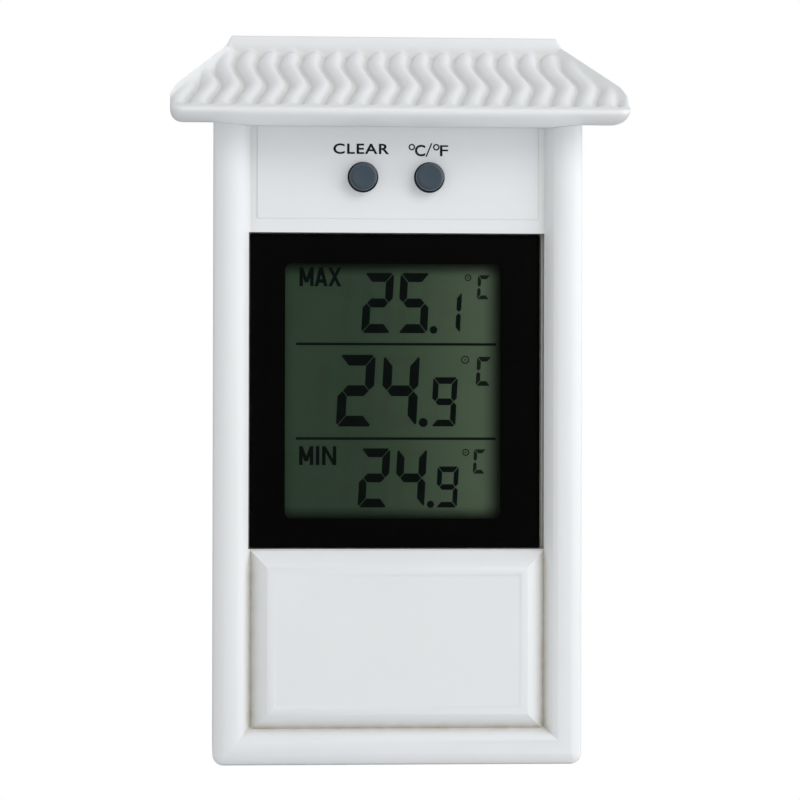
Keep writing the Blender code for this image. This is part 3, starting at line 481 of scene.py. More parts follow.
# ---- materials ----
class Surface:
    """A Principled material in the object's own coordinates, in metres."""

    def __init__(self, name, roughness, metallic=0.0, specular=0.5):
        self.material = bpy.data.materials.new(name)
        self.material.use_nodes = True
        self.nodes = self.material.node_tree.nodes
        self.links = self.material.node_tree.links
        self.shader = self.nodes["Principled BSDF"]
        for key, value in (("Roughness", roughness), ("Metallic", metallic), ("Specular IOR Level", specular)):
            self.shader.inputs[key].default_value = value
        self.place = self.nodes.new("ShaderNodeTexCoord").outputs["Object"]

    def add(self, kind, **settings):
        node = self.nodes.new(kind)
        for key, value in settings.items():
            setattr(node, key, value)
        return node

    def put(self, socket, value):
        """Link a socket, or set a constant on it."""
        if isinstance(value, bpy.types.NodeSocket):
            self.links.new(value, socket)
        else:
            socket.default_value = value

    def axes(self):
        """The object's X, Y and Z as separate values."""
        split = self.add("ShaderNodeSeparateXYZ")
        self.put(split.inputs[0], self.place)
        return split.outputs

    def maths(self, operation, *values):
        node = self.add("ShaderNodeMath", operation=operation)
        for socket, value in zip(node.inputs, values):
            self.put(socket, value)
        return node.outputs[0]

    def stretched(self, scale):
        """The object's coordinates, squeezed or stretched along each axis."""
        mapping = self.add("ShaderNodeMapping")
        self.put(mapping.inputs["Vector"], self.place)
        mapping.inputs["Scale"].default_value = scale
        return mapping.outputs["Vector"]

    def noise(self, size, detail=2.0, roughness=0.5, scale=None):
        """Noise from 0 to 1 whose features are about size millimetres across."""
        node = self.add("ShaderNodeTexNoise")
        self.put(node.inputs["Vector"], self.stretched(scale) if scale else self.place)
        node.inputs["Scale"].default_value = 1.0 / (size * MM)
        node.inputs["Detail"].default_value = detail
        node.inputs["Roughness"].default_value = roughness
        return node.outputs["Fac"]

    def remap(self, value, from_low, from_high, to_low, to_high):
        node = self.add("ShaderNodeMapRange")
        for key, setting in zip(("Value", "From Min", "From Max", "To Min", "To Max"),
                                (value, from_low, from_high, to_low, to_high)):
            self.put(node.inputs[key], setting)
        return node.outputs["Result"]

    def mix(self, share, first, second):
        node = self.add("ShaderNodeMix", data_type="RGBA")
        for key, value in zip((0, 6, 7), (share, first, second)):
            if isinstance(value, tuple):
                value = (*value, 1.0)
            self.put(node.inputs[key], value)
        return node.outputs[2]

    def corner_shade_and_soiling(self, distance, most):
        """A painted-shade mask from ambient occlusion, which also stands for soiling: from 0 in the open to
        most deep in the corners.
        """
        node = self.add("ShaderNodeAmbientOcclusion", samples=8, only_local=True)
        node.inputs["Distance"].default_value = distance * MM
        return self.remap(node.outputs["AO"], 0.3, 0.85, most, 0.0)

    def colour(self, value):
        self.put(self.shader.inputs["Base Color"], value)

    def roughness(self, size, low, high):
        """Roughness that wanders between two values in patches of a size."""
        self.put(self.shader.inputs["Roughness"], self.remap(self.noise(size, 3.0), 0.2, 0.8, low, high))

    def blend(self, share, first, second):
        """Show two shader nodes mixed."""
        node = self.add("ShaderNodeMixShader")
        for socket, output in zip(node.inputs, (share, first.outputs[0], second.outputs[0])):
            self.put(socket, output)
        self.links.new(node.outputs[0], self.nodes["Material Output"].inputs["Surface"])

    def relief(self, height, depth):
        """Small relief: a height from 0 to 1 stands for depth millimetres. Calls add up."""
        bump = self.add("ShaderNodeBump")
        bump.inputs["Distance"].default_value = depth * MM
        bump.inputs["Strength"].default_value = 1.0
        self.put(bump.inputs["Height"], height)
        normal = self.shader.inputs["Normal"]
        if normal.is_linked:
            self.put(bump.inputs["Normal"], normal.links[0].from_socket)
        self.put(normal, bump.outputs["Normal"])


def tint(colour, factor):
    return tuple(min(channel * factor, 1.0) for channel in colour)


def moulded(name, colour, roughness, shade_and_soil_colour):
    """Moulded plastic: faint flow patches, fine moulding grain and painted shade in the corners, tinted
    yellowish like the soiling that gathers there.
    """
    surface = Surface(name, roughness)
    body = surface.mix(surface.noise(26.0, 3.0), tint(colour, 0.975), tint(colour, 1.015))
    speckle = surface.remap(surface.noise(0.9, 4.0, 0.6), 0.62, 0.78, 0.0, 0.12)
    body = surface.mix(speckle, body, tint(colour, 0.9))
    uneven = surface.remap(surface.noise(2.4, 3.0), 0.3, 0.7, 0.7, 1.0)
    # painted shade: ambient occlusion darkens the corners towards a yellowish colour that also stands for
    # soiling
    shade_and_soiling = surface.maths("MULTIPLY", surface.corner_shade_and_soiling(4.0, 0.68), uneven)
    surface.colour(surface.mix(shade_and_soiling, body, shade_and_soil_colour))
    surface.roughness(7.0, roughness - 0.05, roughness + 0.07)
    surface.relief(surface.noise(0.35, 3.0, 0.6), 0.004)
    surface.relief(surface.noise(9.0, 1.0), 0.03)
    return surface.material


def rubber(name, colour, roughness):
    """Dark rubbery plastic with a fine matt grain and dust on it."""
    surface = Surface(name, roughness)
    dust = surface.remap(surface.noise(0.35, 4.0, 0.65), 0.6, 0.75, 0.0, 0.35)
    body = surface.mix(surface.noise(3.0, 2.0), tint(colour, 0.92), tint(colour, 1.08))
    surface.colour(surface.mix(dust, body, tint(colour, 1.7)))
    surface.roughness(1.2, roughness - 0.06, roughness + 0.08)
    surface.relief(surface.noise(0.18, 2.0), 0.006)
    return surface.material


def metal(name, colour, roughness, along=(1.0, 1.0, 12.0)):
    """Drawn or plated metal with fine streaks and dull patches."""
    surface = Surface(name, roughness, metallic=1.0)
    streaks = surface.noise(0.8, 3.0, 0.6, scale=along)
    surface.colour(surface.mix(surface.noise(2.5, 3.0), tint(colour, 0.85), tint(colour, 1.05)))
    surface.put(surface.shader.inputs["Roughness"],
                surface.remap(streaks, 0.25, 0.75, roughness - 0.08, roughness + 0.14))
    surface.relief(streaks, 0.003)
    return surface.material


def coated(name, colour, second, size, roughness, depth=0.01):
    """Two shades of one coating mixed in patches, with the grain of its surface."""
    surface = Surface(name, roughness)
    patches = surface.remap(surface.noise(size, 4.0, 0.6), 0.3, 0.7, 0.0, 1.0)
    surface.colour(surface.mix(patches, colour, second))
    surface.roughness(size * 2, max(roughness - 0.06, 0.02), roughness + 0.08)
    surface.relief(surface.noise(size / 2, 3.0), depth)
    return surface.material


def board_green():
    """Green solder resist over copper tracks that run across and down the board."""
    surface = Surface("circuit_board_green", 0.35)
    tracks = []
    for axis, spacing in ((0, 2.54), (2, 3.81)):
        wobble = surface.maths("MULTIPLY_ADD", surface.noise(9.0, 0.0), 4.0 * MM, surface.axes()[axis])
        wave = surface.maths("PINGPONG", wobble, spacing * MM / 2)
        tracks.append(surface.remap(wave, 0.3 * MM, 0.36 * MM, 1.0, 0.0))
    copper = surface.maths("MAXIMUM", *tracks)
    resist = surface.mix(surface.noise(4.0, 3.0), (0.012, 0.085, 0.03), (0.018, 0.12, 0.045))
    surface.colour(surface.mix(copper, resist, (0.03, 0.19, 0.07)))
    surface.relief(copper, 0.035)
    surface.relief(surface.noise(0.3, 3.0), 0.004)
    return surface.material


def lens_clear():
    """Clear acrylic: see-through, with a faint gloss and a little dust."""
    surface = Surface("lens_acrylic_clear", 0.05)
    surface.nodes.remove(surface.shader)
    clear = surface.add("ShaderNodeBsdfTransparent")
    surface.put(clear.inputs["Color"],
                surface.mix(surface.noise(20.0, 2.0), (0.955, 0.96, 0.955), (0.975, 0.98, 0.975)))
    gloss = surface.add("ShaderNodeBsdfAnisotropic", distribution="GGX")
    gloss.inputs["Color"].default_value = WHITE
    surface.put(gloss.inputs["Roughness"], surface.remap(surface.noise(5.0, 4.0), 0.3, 0.7, 0.03, 0.09))
    fresnel = surface.add("ShaderNodeFresnel")
    fresnel.inputs["IOR"].default_value = 1.36
    dust = surface.remap(surface.noise(0.5, 4.0, 0.7), 0.7, 0.8, 0.0, 0.012)
    surface.blend(surface.maths("ADD", fresnel.outputs[0], dust), clear, gloss)
    return surface.material


def display_field(name, unlit=(1.0, 1.0, 1.0)):
    """The display's grey-green ground, with a painted pool of light that makes it lighter towards its right
    side and painted shadow that dims it along the window's right, top and bottom edges.
    """
    surface = Surface(name, 0.42, specular=0.25)
    across, _, up = surface.axes()
    # painted light: the ground lightens towards the right side as if lit from there
    rise = surface.maths("POWER", surface.remap(across, -9.0 * MM, 14.0 * MM, 0.0, 1.0), 1.6)
    dark, light, patch, black = (
        tuple(channel * factor for channel, factor in zip(colour, unlit))
        for colour in ((0.065, 0.127, 0.071), (0.172, 0.255, 0.157), (0.11, 0.17, 0.1), (0.01, 0.014, 0.01)))
    ground = surface.mix(rise, dark, light)
    patches = surface.remap(surface.noise(7.0, 2.0), 0.3, 0.7, 0.0, 0.15)
    ground = surface.mix(patches, ground, patch)
    # painted shadow: the ground darkens to near black along the window's right, top and bottom edges, where the
    # mask's shadow falls
    right = WINDOW_X + WINDOW_HALF
    for socket, edge, inner in ((across, right, right - 3.0), (up, WINDOW_Z[1], WINDOW_Z[1] - 2.2),
                                (up, WINDOW_Z[0], WINDOW_Z[0] + 2.2)):
        ground = surface.mix(surface.remap(socket, inner * MM, edge * MM, 0.0, 0.85), ground, black)
    surface.colour(ground)
    surface.relief(surface.noise(0.25, 2.0), 0.002)
    return surface.material


def print_black(name, colour, roughness):
    """Printed or dyed dark film with slight unevenness."""
    surface = Surface(name, roughness, specular=0.2)
    surface.colour(surface.mix(surface.noise(1.5, 3.0), tint(colour, 0.85), tint(colour, 1.15)))
    surface.relief(surface.noise(0.12, 2.0), 0.001)
    return surface.material


def cell_jacket():
    """The cell's printed sleeve: a dark band, a coppery band and bare metal ends, without any lettering."""
    surface = Surface("cell_sleeve", 0.3)
    along = surface.axes()[0]
    coppery = surface.remap(along, 8.0 * MM, 8.1 * MM, 0.0, 1.0)
    sleeve = surface.mix(coppery, (0.02, 0.035, 0.09), (0.55, 0.27, 0.1))
    bare = surface.remap(surface.maths("ABSOLUTE", along), 20.9 * MM, 20.95 * MM, 0.0, 1.0)
    surface.colour(surface.mix(bare, sleeve, (0.6, 0.6, 0.58)))
    surface.put(surface.shader.inputs["Metallic"], surface.remap(bare, 0.0, 1.0, 0.15, 1.0))
    surface.roughness(1.0, 0.24, 0.4)
    surface.relief(surface.noise(2.0, 2.0), 0.01)
    return surface.material


def make_materials():
    """One material for each slot of the record, plus the finer ones of the display."""
    white = (0.838, 0.858, 0.875)
    return {
        # the last colour given to moulded is painted shade in the corners, tinted like soiling
        "case": moulded("case_white", white, 0.44, (0.39, 0.32, 0.19)),
        "button_grey": rubber("button_grey_rubber", (0.056, 0.081, 0.107), 0.4),
        "lens": lens_clear(),
        "black_film": print_black("mask_ink", (0.002, 0.0022, 0.0018), 0.5),
        "polariser": display_field("display_field"),
        "display_glass": coated("display_glass_green", (0.35, 0.42, 0.38), (0.4, 0.47, 0.42), 4.0, 0.1, 0.001),
        "inner_plastic": moulded("holder_white", (0.74, 0.74, 0.71), 0.5, (0.4, 0.37, 0.3)),
        "contact_rubber": coated("zebra_rubber", (0.42, 0.12, 0.14), (0.5, 0.2, 0.2), 0.6, 0.6),
        "switch_black": rubber("switch_nylon", (0.012, 0.012, 0.013), 0.4),
        "steel": metal("steel_plated", (0.56, 0.56, 0.55), 0.3),
        "board_green": board_green(),
        "epoxy": coated("epoxy_drop", (0.008, 0.008, 0.009), (0.02, 0.02, 0.021), 1.5, 0.22, 0.03),
        "nickel": metal("nickel_plated", (0.66, 0.63, 0.56), 0.25, (10.0, 1.0, 1.0)),
        "ceramic": coated("ceramic_tan", (0.42, 0.27, 0.13), (0.33, 0.2, 0.09), 0.5, 0.5),
        "cell_jacket": cell_jacket(),
        "red_wire": coated("wire_red", (0.45, 0.015, 0.012), (0.55, 0.03, 0.02), 1.2, 0.4),
        "black_wire": coated("wire_black", (0.012, 0.012, 0.012), (0.025, 0.025, 0.025), 1.2, 0.4),
        "lit": print_black("display_ink", (0.0015, 0.0105, 0.0098), 0.45),
        "faint": print_black("display_ink_faint", (0.014, 0.022, 0.017), 0.45),
        "ghost": display_field("display_unlit", (1.03, 0.93, 0.97)),
        "label": print_black("label_ink", (0.012, 0.012, 0.013), 0.5),
    }


# ---- case pieces ----
def height_along(outline, place):
    """The height of an outline of (place, height) points at one place."""
    for (x0, z0), (x1, z1) in zip(outline, outline[1:]):
        if place <= x1:
            return z0 + (z1 - z0) * (place - x0) / (x1 - x0)
    return outline[-1][1]


def hollowed(x, z):
    """Height of a place on the roof's underside, which rises a little beyond the case's sides."""
    start, end = HOLLOW_RAMP
    share = clamped((abs(x) - start) / (end - start))
    return z + SIDE_HOLLOW * share * max(EAVE_MIDDLE - z, 0.0)


def above_soffit(drop):
    """Everything above the roof's underside, moved down by drop."""
    (front_y, front), (fold_y, fold), (back_y, back) = SOFFIT
    under = [(-PAST_BACK_Y, front), (front_y, front), (fold_y, fold), (back_y, back)]
    sides = [side * place for side in (-1, 1) for place in (BODY_HALF + GAP, *HOLLOW_RAMP)]
    over = [(back_y, PAST_TOP), (-PAST_BACK_Y, PAST_TOP)]
    return loft([[(x, y, hollowed(x, z) - drop) for y, z in under] + [(x, y, z) for y, z in over]
                 for x in sorted(sides)])


def column_profile():
    """From the housing's rear rim, along its side, over the column's shallow crest and down to the face."""
    tilt = math.radians(CREST_TILT)
    crest_r = CREST_HALF / math.sin(tilt)
    crest = arc((CREST_MIDDLE, CREST_Y + crest_r), (crest_r, crest_r), 270 - CREST_TILT, 270 + CREST_TILT, 22)
    edge_r = (CREST_MIDDLE - CREST_HALF) / (1.0 - math.sin(tilt))
    edge = arc((edge_r, crest[0][1] + edge_r * math.cos(tilt)), (edge_r, edge_r), 180, 270 - CREST_TILT, 10)
    rim = [(RIM_CHAMFER, PARTING_Y), (0.0, PARTING_Y - RIM_CHAMFER)]
    return rim + edge + crest[1:] + [(COLUMN_W, FACE_Y)]


def raised_panel():
    """The bevelled panel below the window: a rounded bevel, a slight bead and a flat field."""
    foot = FACE_Y + THIN_GAP
    rounded = []
    for step in range(PANEL_STEPS + 1):
        share = step / PANEL_STEPS
        rise = (PANEL_HEIGHT + THIN_GAP) * (1.0 - (1.0 - share) ** PANEL_CURVE)
        rounded.append((THIN_GAP + PANEL_BEVEL * share, foot - rise))
    inset, shoulder = rounded[-1]
    bead = [(inset + inwards, shoulder - forwards) for inwards, forwards in PANEL_BEAD]
    profile = [(THIN_GAP, foot + OVERLAP + PANEL_SEAT)] + rounded + bead
    return loft(frame_rings(profile, FACE_HALF, (COLUMN_W - PANEL_TUCK, LENS_Z[0] - PANEL_DROP), 0.0))


def button_panel():
    """The low raised field around the buttons."""
    profile = [(0.0, FACE_Y + OVERLAP)] + [(inset, FACE_Y - FIELD_STEP * share) for inset, share in FIELD_EDGE]
    aside, above = FIELD_MARGIN
    return loft(frame_rings(profile, FACE_HALF - aside, (LENS_Z[1] + above, FIELD_TOP), FIELD_CORNER))


def front_housing(mats):
    """The face plate with its columns, hollow behind, with the lens's recess and the window."""
    recess_y = FACE_Y + LENS_T + RECESS_PLAY
    recess_z = (LENS_Z[0] - THIN_GAP, LENS_Z[1] + THIN_GAP)
    window = WINDOW_HALF + WINDOW_PLAY
    pocket_side, pocket_rise = BUTTON_POCKET
    hollow_side, hollow_drop, hollow_front = PANEL_HOLLOW
    column_side, column_back, column_rise = COLUMN_HOLLOW
    cuts = [
        above_soffit(SEAM),
        box((-CAVITY_HALF, LEDGE_BACK_Y, WALL), (CAVITY_HALF, PARTING_Y + WALL, CAVITY_TOP)),
        box((-FACE_HALF + pocket_side, PLATE_BACK_Y, LENS_Z[1] + pocket_rise),
            (FACE_HALF - pocket_side, 0.0, CAVITY_TOP)),
        box((-FACE_HALF + hollow_side, FACE_Y - hollow_front, COLUMN_W + hollow_side),
            (FACE_HALF - hollow_side, 0.0, LENS_Z[0] - hollow_drop)),
        box((-RECESS_LEFT, PAST_FRONT_Y, recess_z[0]), (RECESS_HALF, recess_y, recess_z[1])),
        box((WINDOW_X - window, PAST_FRONT_Y, WINDOW_Z[0] - WINDOW_PLAY),
            (WINDOW_X + window, 0.0, WINDOW_Z[1] + WINDOW_PLAY)),
        together(side_box(side, FACE_HALF + column_side, CAVITY_HALF, (CREST_Y + column_back, 0.0),
                          (WALL + column_rise, CAVITY_TOP)) for side in (-1, 1)),
        posts([(x, BUTTON_Z) for x in BUTTON_X], BUTTON_HOLE_R, PAST_FRONT_Y, 0.0, 72)]
    steps = [("UNION", button_panel()),
             ("DIFFERENCE", box((-RECESS_HALF, PAST_FRONT_Y, COLUMN_W + VALLEY),
                                (RECESS_HALF, FACE_Y + PANEL_SEAT, LENS_Z[0] - PANEL_DROP - VALLEY))),
             ("UNION", raised_panel())]
    steps += [("DIFFERENCE", solid) for solid in cuts]
    steps += [("UNION", posts(BOARD_SCREWS, BOARD_POST_R, LEDGE_BACK_Y - GAP, BOARD_Y[0] - THIN_GAP)),
              ("UNION", posts(CASE_SCREWS, CASE_BOSS_R, FACE_Y + BOSS_WALL, PARTING_Y - GAP))]
    steps += [("DIFFERENCE", posts(places, radius, LEDGE_BACK_Y + BORE_WALL, PARTING_Y + WALL))
              for places, radius in ((BOARD_SCREWS, BOARD_BORE_R), (CASE_SCREWS, CASE_BORE_R))]
    shell = loft(frame_rings(column_profile(), BODY_HALF, (0.0, BODY_TOP), CORNER_R))
    add_piece("front_housing_shell", combine(shell, steps), mats["case"],
              replaces=["front_housing"], smooth_below=28.0)


def hip_distance(x, height):
    """How far a place on the tiles is from the hip's edge, measured along X."""
    (x0, z0), (x1, z1) = OUTLINE[2:4]
    return x0 + (x1 - x0) * (z0 - height) / (z0 - z1) - abs(x)


def blended(first, second, width):
    """The larger of two heights, with a soft change from one to the other."""
    return (first + second + math.hypot(first - second, width)) / 2


def tile_relief(x, share):
    """How far the tiles stand off their slope: share runs from 0 at the ridge to 1 at the eave."""
    swing = TILE_SWAY * math.exp(-((share - SWAY_PLACE[0]) / SWAY_PLACE[1]) ** 2)
    sway = TILE_SHIFT + swing + HEAD_TURN[0] * max(HEAD_TURN[1] - share, 0.0)
    across = (x / (1.0 + TILE_FAN * share) - sway) / TILE_PITCH
    half_pitches = SLOPE_LENGTH / (TILE_PITCH / 2)
    height = SLOPE_END[1] + (SLOPE_START[1] - SLOPE_END[1]) * share
    inward = hip_distance(x, height)
    from_crest = math.hypot(2.0 * abs(across - round(across)), max(TILE_HEAD - share, 0.0) * half_pitches)
    past_foot = max(share - TILE_FOOT, 0.0) * half_pitches
    from_groove = math.hypot(1.0 - min(from_crest, 1.0), past_foot, GROOVE_ROUND)
    tile = -TILE_DEPTH * (1.0 - min(from_groove, 1.0)) ** GROOVE_CURVE
    ridge_foot = RIDGE_FILLET[1] * max(1.0 - share * SLOPE_LENGTH / RIDGE_FILLET[0], 0.0) ** 2.0
    flank = HIP_RIB - (HIP_RIB + HIP_FOOT) * max(inward - HIP_EDGE, 0.0) / (HIP_WIDTH - HIP_EDGE)
    if flank > 0.0:
        flank *= max(1.0 - past_foot ** 2, 0.0) ** 0.5
    return blended(flank, tile + ridge_foot, HIP_BLEND) - HIP_BLEND / 4


def roof_section(x):
    """The roof cut at one x: round the eave, up the tiles, over the ridge and back underneath."""
    under, over = EAVE_ARCS
    eave = arc((EAVE_Y + EAVE_UNDER[0], EAVE_MIDDLE), EAVE_UNDER, *under)
    eave += arc((EAVE_Y + EAVE_OVER, EAVE_MIDDLE), (EAVE_OVER, EAVE_OVER), *over)
    run, rise = SLOPE_END[0] - SLOPE_START[0], SLOPE_END[1] - SLOPE_START[1]
    limit = height_along(OUTLINE, abs(x))
    top_share = max((SLOPE_END[1] - limit) / rise, 0.0)
    slope = []
    for step in range(ROOF_CELLS + 1):
        share = 1.0 + (top_share - 1.0) * step / ROOF_CELLS
        lift = tile_relief(x, share)
        slope.append((SLOPE_END[0] - run * share - lift * rise / SLOPE_LENGTH,
                      SLOPE_END[1] - rise * share + lift * run / SLOPE_LENGTH))
    edge = SLOPE_END[0] - run * top_share
    ridge = [(edge + back, SLOPE_END[1] + up) for back, up in RIDGE_FACE]
    ridge += [(edge + back, RIDGE_TOP - down) for back, down in RIDGE_EDGE]
    ridge += [(BACK_Y - RIDGE_CHAMFER, RIDGE_TOP), (BACK_Y, RIDGE_TOP - RIDGE_CHAMFER)]
    top = [(y, min(z, limit)) for y, z in slope + ridge]
    return [(y, hollowed(x, z)) for y, z in eave + top + SOFFIT[:0:-1]]


def roof_end(side, angle):
    """A section near one end: its underside curves up and its front turns in, angle from 0 to 90."""
    x = ROOF_HALF - END_R + END_R * math.sin(math.radians(angle))
    turn = 1.0 - math.cos(math.radians(angle))
    ring = []
    for y, z in roof_section(side * x):
        share = clamped((z - height_along(SOFFIT, y)) / END_FADE)
        front = clamped((END_FRONT[0] - y) / END_FRONT[1])
        ring.append((side * x, y + END_TURN * turn * front, z + END_R * turn * (1.0 - share)))
    return ring


def roof_stations():
    """Places along X for the roof's sections, with one at each corner of its outline."""
    inner = ROOF_HALF - END_R
    corners = [side * x for x, _ in OUTLINE[1:3] for side in (-1, 1)]
    count = round(2 * inner / ROOF_STEP)
    even = [-inner + 2 * inner * i / count for i in range(count + 1)]
    return sorted(corners + [x for x in even if min(abs(x - corner) for corner in corners) > ROOF_STEP / 2])


def roof(mats):
    """The rain roof: wavy moulded tiles, rounded under its ends, hollow above the case."""
    rings = [[(x, y, z) for y, z in roof_section(x)] for x in roof_stations()]
    left = [roof_end(-1, angle) for angle in reversed(END_ANGLES)]
    right = [roof_end(1, angle) for angle in END_ANGLES]
    boss_r, boss_lift, boss_top = ROOF_BOSS
    bore_r, bore_top = ROOF_BORE
    hood = combine(loft(left + rings + right), [
        ("DIFFERENCE", loft([[(x, y, z) for y, z in ROOF_HOLLOW] for x in (-HOLLOW_HALF, HOLLOW_HALF)])),
        ("UNION", together(cylinder(boss_r, (x, y, height_along(SOFFIT, y) + boss_lift), (x, y, boss_top))
                           for x, y in ROOF_SCREWS)),
        ("DIFFERENCE", together(cylinder(bore_r, (x, y, COVER_TOP), (x, y, bore_top))
                                for x, y in ROOF_SCREWS))])
    add_piece("rain_roof", hood, mats["case"], replaces=["roof"], smooth_below=50.0)


# ---- window, display and labels ----
def window_lens(mats):
    back = FACE_Y + LENS_T
    profile = [(LENS_EDGE, FACE_Y), (0.0, FACE_Y + LENS_EDGE), (0.0, back - LENS_EDGE), (LENS_EDGE, back)]
    pane = loft(frame_rings(profile, LENS_HALF, LENS_Z, LENS_CORNER, LENS_X))
    add_piece("window_lens_clear", pane, mats["lens"], replaces=["window_lens"])


def window_mask(mats):
    """The black print behind the lens, with the opening for the display."""
    front = FACE_Y + LENS_T + THIN_GAP
    profile = [(MASK_INSET, front), (MASK_INSET, front + MASK_T)]
    film = loft(frame_rings(profile, LENS_HALF, LENS_Z, LENS_CORNER, LENS_X))
    through = [(0.0, front - OVERLAP), (0.0, front + OVERLAP)]
    opening = loft(frame_rings(through, WINDOW_HALF, WINDOW_Z, WINDOW_CORNER, WINDOW_X))
    mask = combine(film, [("DIFFERENCE", opening)])
    add_piece("window_mask_print", mask, mats["black_film"], replaces=["window_mask"])


def segment_outlines(width, height, stroke):
    """The seven bars of a digit, upright, with mitred corners and thin gaps between them."""
    gap, cut = BAR_GAP, BAR_CUT * stroke
    middle, half = height / 2, stroke / 2
    side = SIDE_STROKE * stroke
    top = [(cut, height), (cut / 2 + gap, height - cut / 2), (side + gap, height - stroke),
           (width - side - gap, height - stroke), (width - cut / 2 - gap, height - cut / 2),
           (width - cut, height)]
    right = [(width, height - cut), (width - cut / 2, height - cut / 2 - gap),
             (width - side, height - stroke - gap), (width - side, middle + half + gap),
             (width - side / 2, middle + gap), (width, middle + half * 0.9 + gap)]
    bar = [(side / 2 + gap, middle), (side + gap, middle + half), (width - side - gap, middle + half),
           (width - side / 2 - gap, middle), (width - side - gap, middle - half), (side + gap, middle - half)]

    def flip_x(points):
        return [(width - x, z) for x, z in points]

    def flip_z(points):
        return [(x, height - z) for x, z in points]

    return {"a": top, "b": right, "c": flip_z(right), "d": flip_z(top), "e": flip_x(flip_z(right)),
            "f": flip_x(right), "g": bar}


def digit_bars(names, x, z, height, width, stroke=STROKE, front_y=PRINT_Y, thickness=PRINT_T):
    """Plates for the named bars of one slanted digit whose lower left corner is at (x, z)."""
    outlines = segment_outlines(width, height, stroke * height)
    return [plate([(x + px + SLANT * pz, z + pz) for px, pz in outlines[name]], front_y, thickness)
            for name in names]


def disc(x, z, radius):
    return plate(circle((x, z), radius, 24), PRINT_Y, PRINT_T)


def ring(x, z, radius, width, front_y=PRINT_Y, thickness=PRINT_T):
    """A flat ring, facing -Y."""
    inner, back_y = radius - width, front_y + thickness
    section = ((radius, front_y), (inner, front_y), (inner, back_y), (radius, back_y))
    return loft([[(px, y, pz) for px, pz in circle((x, z), r, 36)] for r, y in section], endless=True)


def letters(text, xs, zs, weight, spacing=1.0):
    """Letters of the built-in typeface, printed on the button field and stretched to fill x and z."""
    curve = bpy.data.curves.new("work", "FONT")
    curve.body = text
    curve.extrude = 0.5
    curve.offset = weight
    curve.space_character = spacing
    curve.resolution_u = 6
    obj = in_scene("work", curve)
    bm = bmesh.new()
    mesh = bpy.data.meshes.new_from_object(obj.evaluated_get(bpy.context.evaluated_depsgraph_get()))
    bm.from_mesh(mesh)
    bpy.data.objects.remove(obj)
    bpy.data.meshes.remove(mesh)
    bmesh.ops.remove_doubles(bm, verts=bm.verts, dist=1e-5)
    low = Vector((min(v.co.x for v in bm.verts), min(v.co.y for v in bm.verts), -0.5))
    high = Vector((max(v.co.x for v in bm.verts), max(v.co.y for v in bm.verts), 0.5))
    for vert in bm.verts:
        share = [(vert.co[i] - low[i]) / (high[i] - low[i]) for i in range(3)]
        vert.co = (xs[0] + (xs[1] - xs[0]) * share[0], LABEL_Y + LABEL_T * (1.0 - share[2]),
                   zs[0] + (zs[1] - zs[0]) * share[1])
    return bm


def printed(name, solids, mat):
    add_piece(name, together(solids), mat, smooth_below=20.0)


def stroke_letter(letter, xs, zs):
    """One plain letter of the display, drawn with straight strokes of one width."""
    low, high = xs[0] + WORD_STROKE / 2, xs[1] - WORD_STROKE / 2
    strokes = []
    for layer, ((x0, z0), (x1, z1)) in enumerate(LETTER_STROKES[letter]):
        start = (low + (high - low) * x0, zs[0] + (zs[1] - zs[0]) * z0)
        end = (low + (high - low) * x1, zs[0] + (zs[1] - zs[0]) * z1)
        aside, up = (WORD_STROKE / 2, 0.0) if z0 != z1 else (0.0, WORD_STROKE / 2)
        outline = [(start[0] - aside, start[1] - up), (end[0] - aside, end[1] - up),
                   (end[0] + aside, end[1] + up), (start[0] + aside, start[1] + up)]
        strokes.append(plate(outline, PRINT_Y - 0.001 * layer, PRINT_T))
    return together(strokes)


def display(mats):
    """What the display shows: three rows of a temperature, their words and units, and the faint unlit bars."""
    lit, unlit = [], []
    digits = [(character, x, z, height, width, STROKE) for characters, z, height, width, xs, _ in BIG_ROWS
              for character, x in zip(characters, xs)]
    digits += [(*digit, SMALL_STROKE) for digit in SMALL_DIGITS]
    for character, *place in digits:
        lit += digit_bars(LIT[character], *place)
        spare = [name for name in "abcdefg" if name not in LIT[character]]
        unlit += digit_bars(spare, *place, front_y=GHOST_Y, thickness=GHOST_T)
    for character, *place in SPARE_DIGITS:
        unlit += digit_bars(LIT[character], *place, front_y=GHOST_Y, thickness=GHOST_T)
    lit += [disc(*dot) for *_, dot in BIG_ROWS]
    printed("display_digits", lit, mats["lit"])
    printed("display_unlit_bars", unlit, mats["ghost"])
    rules = [plate([(RULE_X[0], z - RULE_T / 2), (RULE_X[1], z - RULE_T / 2), (RULE_X[1], z + RULE_T / 2),
                    (RULE_X[0], z + RULE_T / 2)], PRINT_Y, PRINT_T) for z in RULES_Z]
    printed("display_rules", rules, mats["lit"])
    units = []
    for x, z, radius, letter_x, letter_z, height, width in UNIT_MARKS:
        units += [ring(x, z, radius, UNIT_RING), disc(x, z, UNIT_DOT)]
        units += digit_bars(LIT["C"], letter_x, letter_z, height, width, UNIT_STROKE)
    printed("display_units", units, mats["faint"])
    for word, zs, places in WORDS:
        solids = [stroke_letter(letter, xs, zs) for letter, xs in zip(word, places)]
        printed(f"display_word_{word.lower()}", solids, mats["lit"])


def labels(mats):
    """The words printed above the two buttons."""
    printed("label_clear", [letters(*CLEAR_LABEL)], mats["label"])
    marks = [ring(x, LABEL_RING_Z, *LABEL_RING, LABEL_Y, LABEL_T) for x in LABEL_RING_X]
    marks += [letters(*letter) for letter in LABEL_LETTERS]
    printed("label_units", marks, mats["label"])


